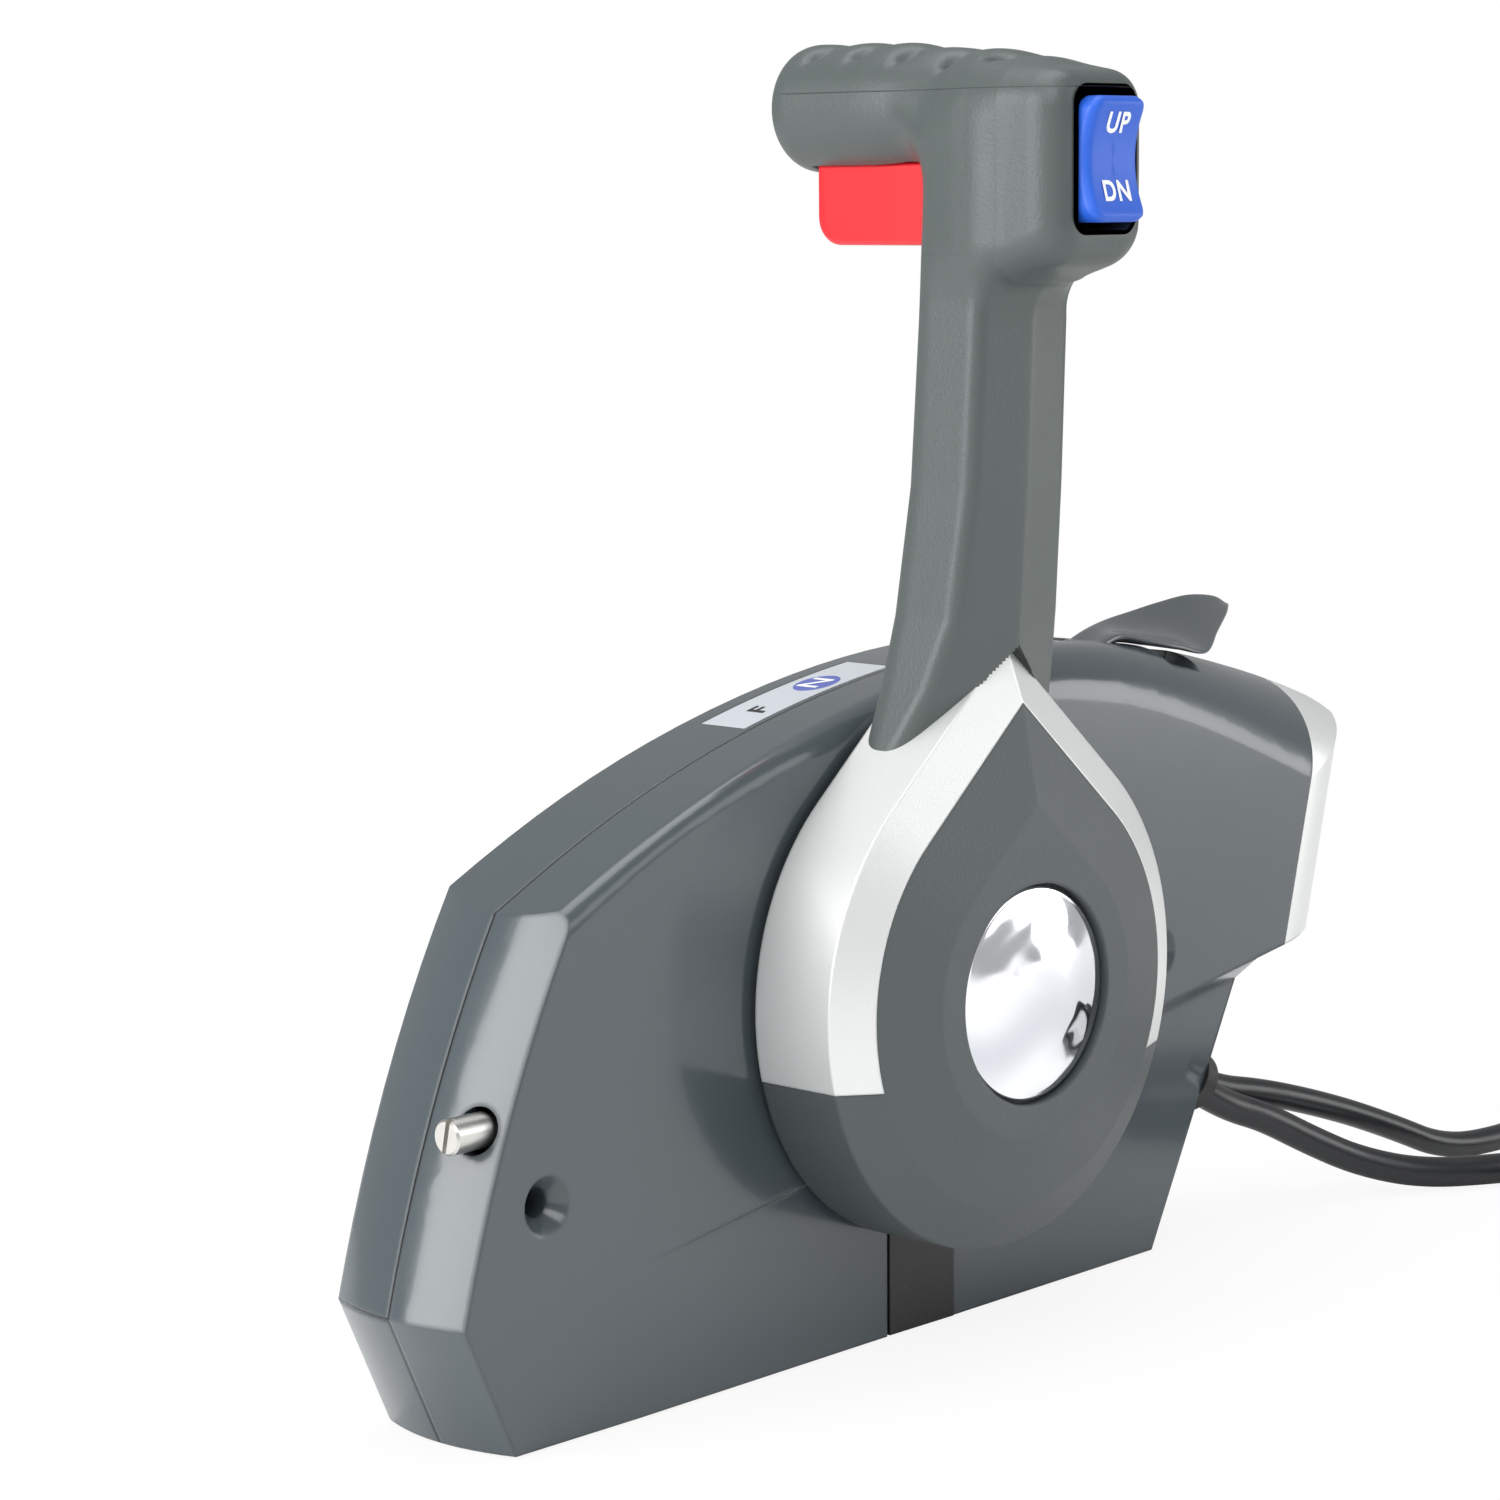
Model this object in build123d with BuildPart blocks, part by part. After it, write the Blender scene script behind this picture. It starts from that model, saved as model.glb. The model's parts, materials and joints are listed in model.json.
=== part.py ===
"""Side-mount remote control box for an outboard motor: shift and throttle lever.

Frame: X runs aft along the box, Y from the operator's side to the mounting wall, Z up.
Plane helpers place every sketch from the lever's pivot axis and the hub's rim plane.
"""

import os
from math import asin, atan2, cos, degrees, pi, radians, sin, sqrt, tan

from build123d import *

os.makedirs("parts", exist_ok=True)

# ---------------------------------------------------------------- overall datum sizes
pivot_height = 84.0  # pivot axis above the flat base
left_reach = 150.5  # pivot to the fore end of the box
right_reach = 179.4  # pivot to the aft end of the box
back_depth = 64.0  # hub rim plane to the mounting wall
front_reach = 33.0  # hub rim plane to the front of the trim rocker

pivot_x = (left_reach - right_reach) / 2
rim_y = (front_reach - back_depth) / 2

# ---------------------------------------------------------------- box
face_depth = 24.0  # hub rim plane to the box's front face
seam_depth = 43.5  # hub rim plane to the seam between the halves
wall = 3.0
box_depth = back_depth - face_depth
mid_depth = (face_depth + back_depth) / 2
end_crown = 4.0  # bulge of the fore end at the seam
end_rake = 0.26  # aft end leans this much per unit of height
end_corner_r = 27.0  # plan rounding of the aft end
end_x_at_pivot = right_reach - 8.3  # aft end at pivot height
cap_line_x = end_x_at_pivot - end_corner_r  # where the silver end cap starts
wing_slope = 0.16
knee_z = 30.0 - pivot_height  # break of the fore end
wing_drop = 35.0  # wing's lower edge below the pivot, at the pivot
lower_end_x = 129.0
lower_foot_x = 91.0
step_depth = 5.5  # lower panel's set-back at the aft end

# ---------------------------------------------------------------- fixing holes
fixing_hole_r = 3.3
fixing_mouth_r = 6.5
fixing_boss_r = 9.0
fixing_left = (28.0 - left_reach, -31.4)
fixing_right = (88.0, -7.2)
run = 0.05  # running clearance of shafts
gap = 0.4  # clearance between moving neighbours

# ---------------------------------------------------------------- hub
hub_r = 60.0
hub_depth = 22.0
hub_wall = 3.0
apex_z = 79.5
hub_chamfer = 10.0
hub_chamfer_rise = 5.0
crown_r = 33.0
crown_rise = 9.5
trim_end_z = -18.0
emblem_r = 24.6
emblem_well_depth = 3.5
emblem_dome = 4.0
emblem_rim = 2.0

# ---------------------------------------------------------------- lever
arm_half_top = 16.0
arm_half_low = 18.5
arm_flare_half = 26.5
arm_front_top = -8.0
arm_front_low = -4.0
arm_back_top = 15.0
arm_back_low = 20.0
grip_r = 14.7
grip_z = 199.4
grip_end_y = 61.0
pod_half_x = 15.5
pod_half_z = 20.5
pod_z = 186.0
pod_front_y = -28.0
pod_back_y = -6.0
core_half = 7.0
channel_half = 5.2

# ---------------------------------------------------------------- trim rocker
rocker_half_x = 9.2
rocker_half_z = 13.6
rocker_pivot_y = -19.0
rocker_gap = 0.7

# ---------------------------------------------------------------- neutral lock
lock_bar_half = 5.5
lock_bar_front = 16.6
lock_bar_back = 52.0
lock_bar_low = 168.3
lock_bar_top = 187.0
lock_travel = 6.0
lock_rod_r = 1.6
lock_pin_r = 3.0
lock_pin_lift = 0.5

# ---------------------------------------------------------------- shaft and gears
shaft_r = 8.0
bush_wall = 3.0
gear_module = 2.0
drive_teeth = 28
driven_teeth = 20
gear_front = 34.0
gear_thick = 7.0
gear_gap_x = 37.0  # driven gear centres either side of the shaft
spindle_r = 4.0
arm_plate_thick = 4.0
throw = 30.0  # cable arm length
trunnion_r = 4.0
chassis_y = 55.0
chassis_thick = 3.0
drum_r = 32.0

drive_pitch_r = gear_module * drive_teeth / 2
driven_pitch_r = gear_module * driven_teeth / 2
centre_distance = drive_pitch_r + driven_pitch_r
gear_drop_z = -sqrt(centre_distance**2 - gear_gap_x**2)
gear_back = gear_front + gear_thick

# ---------------------------------------------------------------- friction screw
screw_z = -14.0
screw_depth = 31.0
screw_r = 3.9
screw_head_x = 6.0 - left_reach
shoe_gap = 1.7

# ---------------------------------------------------------------- fast idle lever
idle_x = 82.0
idle_z = 57.0
idle_drum_r = 13.0
idle_front = 38.0
idle_back = 49.0
idle_pin_r = 3.0
idle_pin_front = 33.5
slot_margin = 0.6
pocket_x = 108.0
pocket_z = 66.5
pocket_r = 8.0
pocket_front = 31.0

# ---------------------------------------------------------------- box details
slot_cover_half = 12.0
slot_cover_top = 40.0 - pivot_height
slot_cover_sink = 2.0
slot_cover_thick = 1.6
post_r = 4.5
pilot_r = 1.6
case_head_r = 3.8
case_screw_length = 32.0
screw_posts = [(-92.0, 18.0), (34.5 - left_reach, 14.0 - pivot_height)]
screw_posts += [(84.0, 16.0 - pivot_height), (128.0, 22.0)]
shaft_boss_r = 15.0
bush_r = shaft_r + bush_wall
boss_back = 33.0
indicator_left = -38.0
indicator_right = 12.0
indicator_front = 45.5
indicator_back = 59.0
cover_top_z = knee_z
cover_inner_x = 46.5 - left_reach
chassis_low = 14.0 - pivot_height
chassis_outline = [(-86, chassis_low), (70, chassis_low), (76, chassis_low + 14)]
chassis_outline += [(76, 30), (40, 50), (-30, 44), (-86, 18)]
chassis_holes = [(-78.0, chassis_low + 8), (64.0, chassis_low + 8), (68.0, 24.0), (-78.0, 12.0)]
gate_r = 30.0
gate_thick = 2.6

# ---------------------------------------------------------------- leads
slant_angle = atan2(lower_end_x - lower_foot_x, pivot_height - wing_drop + wing_slope * lower_end_x)
grommet_up = 45.8  # from the heel, along the raked lower end
grommet_x = lower_foot_x + grommet_up * sin(slant_angle)
grommet_depth = 36.0
grommet_z = grommet_up * cos(slant_angle) - pivot_height
grommet_neck_r = 7.2
grommet_flange_r = 8.6
grommet_flange_height = 5.3
trim_lead_r = 3.5
harness_lead_r = 4.0
trim_lead_spot = (3.3, 2.2)
harness_lead_spot = (-3.2, -1.8)
cable_port_r = 4.2
cable_ports = [(18.0, 16.0), (18.0, -16.0)]
# each lead's route, its heights above the base, then its storage coil beside the box
trim_lead_route = [(150.0, 36.8, 29.4), (175.0, 32.5, 21.7), (197.0, 29.0, 13.2), (219.0, 25.5, 3.5)]
trim_lead_route += [(246.0, 21.0, 3.5), (270.3, 28.1, 3.5), (293.0, 38.5, 3.5)]
trim_coil_at = (307.0, 5.5)
trim_coil_r = 36.0
harness_lead_route = [(140.0, 29.6, 25.6), (157.0, 26.6, 16.6), (173.0, 22.2, 8.8), (189.0, 13.5, 4.0)]
harness_lead_route += [(206.0, 1.5, 4.0), (227.0, -7.2, 4.0), (247.7, -14.7, 4.0)]
harness_coil_at = (234.0, -52.3)
harness_coil_r = 40.0
coil_turns = 2
lead_straight = 12.5  # square out of the grommet before the first bend
tail_offset = 12.0  # connector's line from the middle of its coil

# ---------------------------------------------------------------- small works
gear_backlash = 0.5
drum_front = 27.8
trunnion_back = 54.0
detent_pivot = (-40.0, 40.0)
detent_pin_r = 2.5
detent_front = 34.4
detent_back = 37.4
roller_r = 4.0
roller_pin_r = 1.5
roller_x = 0.0
roller_z = drum_r + roller_r + 0.3
switch_left = 40.0
switch_right = 62.0
switch_front = 28.5
switch_back = 42.0
switch_z = 13.0
switch_tall = 20.0
plunger_depth = 31.0
plunger_r = 1.5
plunger_tip_x = 31.5
plunger_in = 9.0
plunger_travel = 1.5
nut_x = -92.0
nut_half = 5.0
nut_side = 12.0
screw_head_length = 10.5
screw_shank_r = 3.0
screw_shank_end = -64.0
screw_tip_r = 2.2
shoe_left = -47.0
shoe_front = 28.2
shoe_back = 33.8
shoe_socket = 8.0
core_front = 1.0
core_back = 6.0
core_disc_r = 22.0
core_top_z = 166.0
bolt_r = 4.0
bolt_length = 18.0
trim_thick = 2.0
hub_post_ring = 16.0
rod_y = 9.6
spring_r = 2.8
spring_low_z = 120.0
spring_top_z = 150.0
lock_pin_z = gate_r + lock_pin_r + lock_pin_lift
rocker_z = 187.0
rocker_back_y = -21.2
rocker_pin_r = 1.5
rocker_lug_half = 4.0
switch_body_front = -18.0
switch_body_back = -5.0
blade_dish = 1.4


# ---------------------------------------------------------------- planes from the pivot
def facing(depth):
    """Upright plane looking at the operator: local x is aft, local y is up."""
    return Plane(origin=(pivot_x, rim_y + depth, pivot_height), x_dir=(1, 0, 0), z_dir=(0, -1, 0))


def across(along):
    """Plane square to the box's length: local x is depth, local y is up."""
    return Plane(origin=(pivot_x + along, rim_y, pivot_height), x_dir=(0, 1, 0), z_dir=(1, 0, 0))


def level(height):
    """Level plane: local x is aft, local y is depth."""
    return Plane(origin=(pivot_x, rim_y, pivot_height + height))


def point(along, depth, height):
    """A point from the pivot, in the part's frame."""
    return (pivot_x + along, rim_y + depth, pivot_height + height)


def finish(builder, name):
    """Label a finished piece and write it."""
    builder.part.label = name
    export_step(builder.part, f"parts/{name}.step")


# ---------------------------------------------------------------- box volume
# along the box: height of the top above the pivot, rounding of its front edge
crest = [
    (-left_reach - 9.5, 11.0, 3.5),
    (57.5 - left_reach, 40.5, 4.0),
    (-45.0, 58.0, 5.0),
    (0.0, 68.0, 8.0),
    (45.0, 72.0, 11.5),
    (90.0, 69.0, 16.5),
    (130.0, 61.5, 23.0),
    (186.0, 45.0, 29.0),
]


def box_volume(inset):
    """The box as a solid, each wall moved in by inset."""
    base_z = -pivot_height + inset
    front = face_depth + inset
    back = back_depth - inset
    with BuildPart() as body:
        for along, top, rounding in crest:
            r = max(rounding - inset, 1.0)
            high = top - inset
            with BuildSketch(across(along)):
                with BuildLine():
                    corner = front + r * (1 - cos(radians(45)))
                    Line((front, base_z), (back, base_z))
                    Line((back, base_z), (back, high))
                    Line((back, high), (front + r, high))
                    middle = (corner, high - r * (1 - sin(radians(45))))
                    ThreePointArc((front + r, high), middle, (front, high - r))
                    Line((front, high - r), (front, base_z))
                make_face()
        loft()
        for depth in (face_depth - 10.0, mid_depth, back_depth + 10.0):
            bulge = end_crown * (1 - ((depth - mid_depth) / (box_depth / 2)) ** 2)
            fore = inset - bulge
            with BuildSketch(facing(depth)):
                with BuildLine():
                    foot = (fore + 14.0 + end_crown - left_reach, base_z)
                    knee = (fore + end_crown - left_reach, knee_z)
                    belly = (fore + 17.0 - left_reach, -13.2)
                    breast = (fore + 37.0 - left_reach, 29.0)
                    shoulder = (fore + 47.5 - left_reach, 46.0)
                    heel = (lower_foot_x - inset, base_z)
                    wing_root = (lower_end_x - inset, wing_slope * lower_end_x - wing_drop + inset)
                    wing_x = end_x_at_pivot - 13.0 - inset
                    wing_low = (wing_x, wing_slope * wing_x - wing_drop + inset)
                    wing_tip = (end_x_at_pivot - 3.0 - inset, 4.0)
                    upper_tip = (end_x_at_pivot + end_rake * 30.0 - inset, 30.0)
                    top_corner = (154.0 - inset, 64.0 - inset)
                    Line(heel, foot)
                    Line(foot, knee)
                    Spline(knee, belly, breast, shoulder)
                    Line(shoulder, (shoulder[0], 100.0))
                    Line((shoulder[0], 100.0), (150.0, 100.0))
                    Line((150.0, 100.0), top_corner)
                    TangentArc(top_corner, upper_tip, tangent=(1, -0.12))
                    Line(upper_tip, wing_tip)
                    TangentArc(wing_tip, wing_low, tangent=(-end_rake, -1))
                    Line(wing_low, wing_root)
                    Line(wing_root, heel)
                make_face()
        loft(mode=Mode.INTERSECT)
        for height in (-100.0, 100.0):
            with BuildSketch(level(height)):
                right = end_x_at_pivot + end_rake * height - inset
                left = -left_reach - 20.0
                r = end_corner_r - inset
                with BuildLine():
                    Line((left, front), (right - r, front))
                    ThreePointArc(
                        (right - r, front),
                        (right - r * (1 - cos(radians(45))), front + r * (1 - sin(radians(45)))),
                        (right, front + r),
                    )
                    Line((right, front + r), (right, back))
                    Line((right, back), (left, back))
                    Line((left, back), (left, front))
                make_face()
        loft(mode=Mode.INTERSECT)
    return body.part


outer_box = box_volume(0.0)
cavity = box_volume(wall)

cap_plane = Plane(origin=point(cap_line_x, 0, 0), x_dir=(0, 1, 0), z_dir=(1, 0, -end_rake))
panel_plane = Plane(
    origin=point(0, face_depth, -wing_drop), x_dir=(1, 0, wing_slope), z_dir=(-wing_slope, 1, 1)
)
# the raked lower end that the leads leave through
slant = Plane(
    origin=point(grommet_x, grommet_depth, grommet_z),
    x_dir=(0, 1, 0),
    z_dir=(cos(slant_angle), 0, -sin(slant_angle)),
)


def panel_wedge(extra):
    """Wedge that sets the lower front panel back below the long crease, extra deeper."""
    with BuildPart() as wedge:
        with BuildSketch(level(-pivot_height - 5)):
            with BuildLine():
                Polyline(
                    (-95.0, face_depth + extra),
                    (160.0, face_depth + step_depth + extra),
                    (160.0, face_depth - 12),
                    (-95.0, face_depth - 12),
                    close=True,
                )
            make_face()
        extrude(amount=pivot_height + 10)
        split(bisect_by=panel_plane.offset(extra * 0.7), keep=Keep.BOTTOM)
    return wedge.part


# ---------------------------------------------------------------- box shell, still whole
with BuildPart() as box_shell:
    add(outer_box)
    add(cavity, mode=Mode.SUBTRACT)
    add(panel_wedge(wall))
    # fixing tubes and screw posts, front wall to back wall
    with BuildSketch(facing(back_depth)):
        with Locations(fixing_left, fixing_right):
            Circle(fixing_boss_r)
        with Locations(*screw_posts):
            Circle(post_r)
    extrude(amount=box_depth - 1.0)
    # boss round the shaft
    with BuildSketch(facing(boss_back)):
        Circle(shaft_boss_r)
    extrude(amount=boss_back - face_depth)
    # pad behind the narrow front recess
    with BuildSketch(facing(face_depth + 7.0)):
        with Locations((0, (slot_cover_top - pivot_height) / 2)):
            Rectangle(2 * slot_cover_half + 6, pivot_height + slot_cover_top)
    extrude(amount=6.0)
    # wall round the finger pocket
    with BuildSketch(facing(back_depth - 1.0)):
        with Locations((pocket_x, pocket_z)):
            Circle(pocket_r + 2.5)
    extrude(amount=back_depth - pocket_front + 1.5)
    # bosses for the fast idle lever's pin
    with BuildSketch(facing(idle_front - 1.2)):
        with Locations((idle_x, idle_z)):
            Circle(idle_pin_r + 3.0)
    extrude(amount=idle_front - 1.2 - face_depth)
    with BuildSketch(facing(back_depth - 1.0)):
        with Locations((idle_x, idle_z)):
            Circle(idle_pin_r + 3.0)
    extrude(amount=back_depth - 1.0 - idle_back - 1.2)
    # standoffs for the chassis
    with BuildSketch(facing(back_depth - 1.0)):
        with Locations(*chassis_holes):
            Circle(5.0)
    extrude(amount=back_depth - 1.0 - chassis_y - chassis_thick)
    # block that the friction nut sits in
    with BuildSketch(across(nut_x - nut_half - 2.0)):
        with Locations((face_depth + 6.5, screw_z)):
            Rectangle(13.0, 18.0)
    extrude(amount=2 * nut_half + 4.0)
    add(outer_box, mode=Mode.INTERSECT)
    add(panel_wedge(0.0), mode=Mode.SUBTRACT)
    # finger pocket
    with BuildSketch(facing(back_depth - 4.0)):
        with Locations((pocket_x, pocket_z)):
            Circle(pocket_r)
    extrude(amount=back_depth - 4.0 - pocket_front, mode=Mode.SUBTRACT)
    # slot for the fast idle lever's drum, and its pin's holes
    with BuildSketch(facing(idle_back + slot_margin)):
        with Locations((idle_x, idle_z + 12)):
            Rectangle(2 * (idle_drum_r + slot_margin), 24)
    extrude(amount=idle_back - idle_front + 2 * slot_margin, mode=Mode.SUBTRACT)
    with BuildSketch(facing(back_depth - 5.0)):
        with Locations((idle_x, idle_z)):
            Circle(idle_pin_r)
    extrude(amount=back_depth - 5.0 - idle_pin_front, mode=Mode.SUBTRACT)
    # fixing holes with countersunk mouths
    with Locations(facing(face_depth)):
        with Locations(fixing_left, fixing_right):
            CounterSinkHole(radius=fixing_hole_r, counter_sink_radius=fixing_mouth_r, counter_sink_angle=82)
    # bore for the front bush
    with BuildSketch(facing(boss_back + 1)):
        Circle(bush_r)
    extrude(amount=boss_back - face_depth + 10, mode=Mode.SUBTRACT)
    # hole for the friction screw, and the nut's seat
    with BuildSketch(across(-left_reach - 5)):
        with Locations((screw_depth, screw_z)):
            Circle(screw_r + 1.1)
    extrude(amount=35.0, mode=Mode.SUBTRACT)
    with BuildSketch(across(nut_x - nut_half)):
        with Locations((screw_depth, screw_z)):
            Rectangle(nut_side, nut_side)
            Rectangle(2 * screw_r, 2 * screw_r)
    extrude(amount=2 * nut_half, mode=Mode.SUBTRACT)
    with BuildSketch(across(nut_x - nut_half - 3.0)):
        with Locations((screw_depth + 4.0, screw_z)):
            Rectangle(8.0 + 2 * screw_shank_r + 0.6, 2 * screw_shank_r + 0.6)
    extrude(amount=2 * nut_half + 6.0, mode=Mode.SUBTRACT)
    # narrow front recess
    with BuildSketch(facing(face_depth + slot_cover_sink + slot_cover_thick)):
        with Locations((0, (slot_cover_top - pivot_height) / 2 - 5)):
            Rectangle(2 * slot_cover_half, pivot_height + slot_cover_top + 10)
    extrude(amount=20.0, mode=Mode.SUBTRACT)
    # window for the gear marks
    with BuildSketch(facing(indicator_back)):
        with Locations(((indicator_left + indicator_right) / 2, 60.0)):
            Rectangle(indicator_right - indicator_left, 50.0)
    extrude(amount=indicator_back - indicator_front, mode=Mode.SUBTRACT)
    # case screws: counterbores in the back and pilot holes up the posts
    with BuildSketch(facing(back_depth + 1)):
        with Locations(*screw_posts):
            Circle(case_head_r)
    extrude(amount=4.5, mode=Mode.SUBTRACT)
    with BuildSketch(facing(back_depth - 3.0)):
        with Locations(*screw_posts):
            Circle(pilot_r)
    extrude(amount=case_screw_length, mode=Mode.SUBTRACT)
    with BuildSketch(facing(chassis_y + chassis_thick + 4.0)):
        with Locations(*chassis_holes):
            Circle(pilot_r)
    extrude(amount=4.0, mode=Mode.SUBTRACT)
    # holes for the grommet and the two control cables
    with BuildSketch(slant.offset(-8.0)):
        Circle(grommet_neck_r)
    extrude(amount=16.0, mode=Mode.SUBTRACT)
    with BuildSketch(slant.offset(-12.0)):
        with Locations(*cable_ports):
            Circle(cable_port_r)
    extrude(amount=20.0, mode=Mode.SUBTRACT)

# block set into the top, carrying the gear marks
with BuildPart() as gear_indicator_plate:
    with BuildSketch(facing(indicator_back)):
        with Locations(((indicator_left + indicator_right) / 2, 60.0)):
            Rectangle(indicator_right - indicator_left, 50.0)
    extrude(amount=indicator_back - indicator_front)
    add(outer_box, mode=Mode.INTERSECT)
    add(cavity, mode=Mode.SUBTRACT)
finish(gear_indicator_plate, "gear_indicator_plate")

with BuildPart() as end_trim:
    add(box_shell.part)
    split(bisect_by=cap_plane, keep=Keep.TOP)
finish(end_trim, "end_trim")

with BuildPart() as front_housing:
    add(box_shell.part)
    split(bisect_by=cap_plane, keep=Keep.BOTTOM)
    split(bisect_by=facing(seam_depth), keep=Keep.TOP)
finish(front_housing, "front_housing")

with BuildPart() as end_cover_block:
    with BuildSketch(facing(back_depth + 5)):
        with BuildLine():
            Polyline(
                (-left_reach - 10, cover_top_z),
                (cover_inner_x, cover_top_z - 2.0),
                (cover_inner_x, -pivot_height - 10),
                (-left_reach - 10, -pivot_height - 10),
                close=True,
            )
        make_face()
    extrude(amount=back_depth + 5 - seam_depth)

with BuildPart() as rear_housing:
    add(box_shell.part)
    split(bisect_by=cap_plane, keep=Keep.BOTTOM)
    split(bisect_by=facing(seam_depth), keep=Keep.BOTTOM)
    add(end_cover_block.part, mode=Mode.SUBTRACT)
finish(rear_housing, "rear_housing")

with BuildPart() as end_cover:
    add(box_shell.part)
    split(bisect_by=facing(seam_depth), keep=Keep.BOTTOM)
    add(end_cover_block.part, mode=Mode.INTERSECT)
finish(end_cover, "end_cover")

with BuildPart() as front_slot_cover:
    with BuildSketch(facing(face_depth + slot_cover_sink + slot_cover_thick)):
        with Locations((0.6, (slot_cover_top - pivot_height) / 2)):
            Rectangle(2 * slot_cover_half - 1.2, pivot_height + slot_cover_top)
    extrude(amount=slot_cover_thick)
finish(front_slot_cover, "front_slot_cover")

with BuildPart() as cable_grommet:
    with BuildSketch(slant.offset(-wall - 0.5)):
        Circle(grommet_neck_r)
    extrude(amount=wall + 0.5)
    with BuildSketch(slant):
        Circle(grommet_flange_r)
    extrude(amount=grommet_flange_height, taper=6)
    with BuildSketch(slant.offset(grommet_flange_height + 1)):
        with Locations(trim_lead_spot):
            Circle(trim_lead_r)
        with Locations(harness_lead_spot):
            Circle(harness_lead_r)
    extrude(amount=-20.0, mode=Mode.SUBTRACT)
finish(cable_grommet, "cable_grommet")

with BuildPart() as case_screws:
    with BuildSketch(facing(back_depth - 0.8)):
        with Locations(*screw_posts):
            Circle(case_head_r - 0.2)
    extrude(amount=2.7)
    with BuildSketch(facing(back_depth - 0.7)):
        with Locations(*screw_posts):
            Rectangle(4.2, 0.9)
            Rectangle(0.9, 4.2)
    extrude(amount=1.4, mode=Mode.SUBTRACT)
    with BuildSketch(facing(back_depth - 3.5)):
        with Locations(*screw_posts):
            Circle(pilot_r)
    extrude(amount=case_screw_length - 1.5)
finish(case_screws, "case_screws")

# ---------------------------------------------------------------- fixed works inside the box
with BuildPart() as chassis_plate:
    with BuildSketch(facing(chassis_y + chassis_thick)):
        with BuildLine():
            Polyline(*chassis_outline, close=True)
        make_face()
        fillet(vertices(), radius=4)
        Circle(bush_r, mode=Mode.SUBTRACT)
        with Locations((-gear_gap_x, gear_drop_z), (gear_gap_x, gear_drop_z)):
            Circle(spindle_r, mode=Mode.SUBTRACT)
        with Locations(detent_pivot):
            Circle(detent_pin_r, mode=Mode.SUBTRACT)
        with Locations(*chassis_holes):
            Circle(pilot_r, mode=Mode.SUBTRACT)
    extrude(amount=chassis_thick)
finish(chassis_plate, "chassis_plate")

with BuildPart() as chassis_screws:
    with BuildSketch(facing(chassis_y)):
        with Locations(*chassis_holes):
            Circle(3.2)
    extrude(amount=2.2)
    with BuildSketch(facing(chassis_y - 0.9)):
        with Locations(*chassis_holes):
            Rectangle(4.0, 0.8)
            Rectangle(0.8, 4.0)
    extrude(amount=1.5, mode=Mode.SUBTRACT)
    with BuildSketch(facing(chassis_y + chassis_thick + 3.0)):
        with Locations(*chassis_holes):
            Circle(pilot_r)
    extrude(amount=chassis_thick + 3.0)
finish(chassis_screws, "chassis_screws")


def bush(name, front, back, flange_front):
    """Plain shaft bush with a thin flange at its front."""
    with BuildPart() as piece:
        with BuildSketch(facing(back)):
            Circle(bush_r)
            Circle(shaft_r + run, mode=Mode.SUBTRACT)
        extrude(amount=back - front)
        if flange_front > 0:
            with BuildSketch(facing(front)):
                Circle(bush_r + flange_front)
                Circle(shaft_r + run, mode=Mode.SUBTRACT)
            extrude(amount=1.0)
    finish(piece, name)


bush("shaft_bush_front", face_depth - 1.4, boss_back, 0.0)
bush("shaft_bush_rear", chassis_y, back_depth - 4.0, 2.5)

with BuildPart() as neutral_gate:
    with BuildSketch(facing(face_depth)):
        Circle(gate_r)
        Circle(bush_r, mode=Mode.SUBTRACT)
        with Locations((0, gate_r)):
            Trapezoid(2 * lock_pin_r + 1.0, 6.0, 80, rotation=180, mode=Mode.SUBTRACT)
    extrude(amount=gate_thick)
finish(neutral_gate, "neutral_gate")

for name, along in (("shift_spindle", -gear_gap_x), ("throttle_spindle", gear_gap_x)):
    with BuildPart() as spindle:
        with BuildSketch(facing(chassis_y + chassis_thick)):
            with Locations((along, gear_drop_z)):
                Circle(spindle_r)
        extrude(amount=chassis_y + chassis_thick - gear_front + 2.2)
        with BuildSketch(facing(gear_front - 0.3)):
            with Locations((along, gear_drop_z)):
                Circle(spindle_r + 2.0)
        extrude(amount=1.0)
    finish(spindle, name)

with BuildPart() as detent_pin:
    with BuildSketch(facing(chassis_y + chassis_thick)):
        with Locations(detent_pivot):
            Circle(detent_pin_r)
    extrude(amount=chassis_y + chassis_thick - 28.5)
    with BuildSketch(facing(chassis_y)):
        with Locations(detent_pivot):
            Circle(detent_pin_r + 2.0)
    extrude(amount=chassis_y - detent_back - 0.4)
finish(detent_pin, "detent_pin")

with BuildPart() as idle_pin:
    with BuildSketch(facing(back_depth - 5.0)):
        with Locations((idle_x, idle_z)):
            Circle(idle_pin_r)
    extrude(amount=back_depth - 5.0 - idle_pin_front)
finish(idle_pin, "idle_pin")

with BuildPart() as friction_nut:
    with BuildSketch(across(nut_x - nut_half)):
        with Locations((screw_depth, screw_z)):
            Rectangle(nut_side, nut_side)
            Circle(screw_shank_r + run, mode=Mode.SUBTRACT)
    extrude(amount=2 * nut_half)
finish(friction_nut, "friction_nut")

# ---- neutral start switch on two legs from the chassis
with BuildPart() as neutral_switch:
    with BuildSketch(facing(switch_back)):
        with Locations(((switch_left + switch_right) / 2, switch_z)):
            Rectangle(switch_right - switch_left, switch_tall)
    extrude(amount=switch_back - switch_front)
    fillet(edges().filter_by(Axis.Y), radius=1.0)
    with BuildSketch(facing(chassis_y)):
        with Locations((switch_left + 5, switch_z), (switch_right - 5, switch_z)):
            Circle(2.5)
    extrude(amount=chassis_y - switch_back)
    with BuildSketch(across(switch_left)):
        with Locations((plunger_depth, switch_z)):
            Circle(plunger_r + run)
    extrude(amount=plunger_in, mode=Mode.SUBTRACT)
finish(neutral_switch, "neutral_switch")

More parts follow.
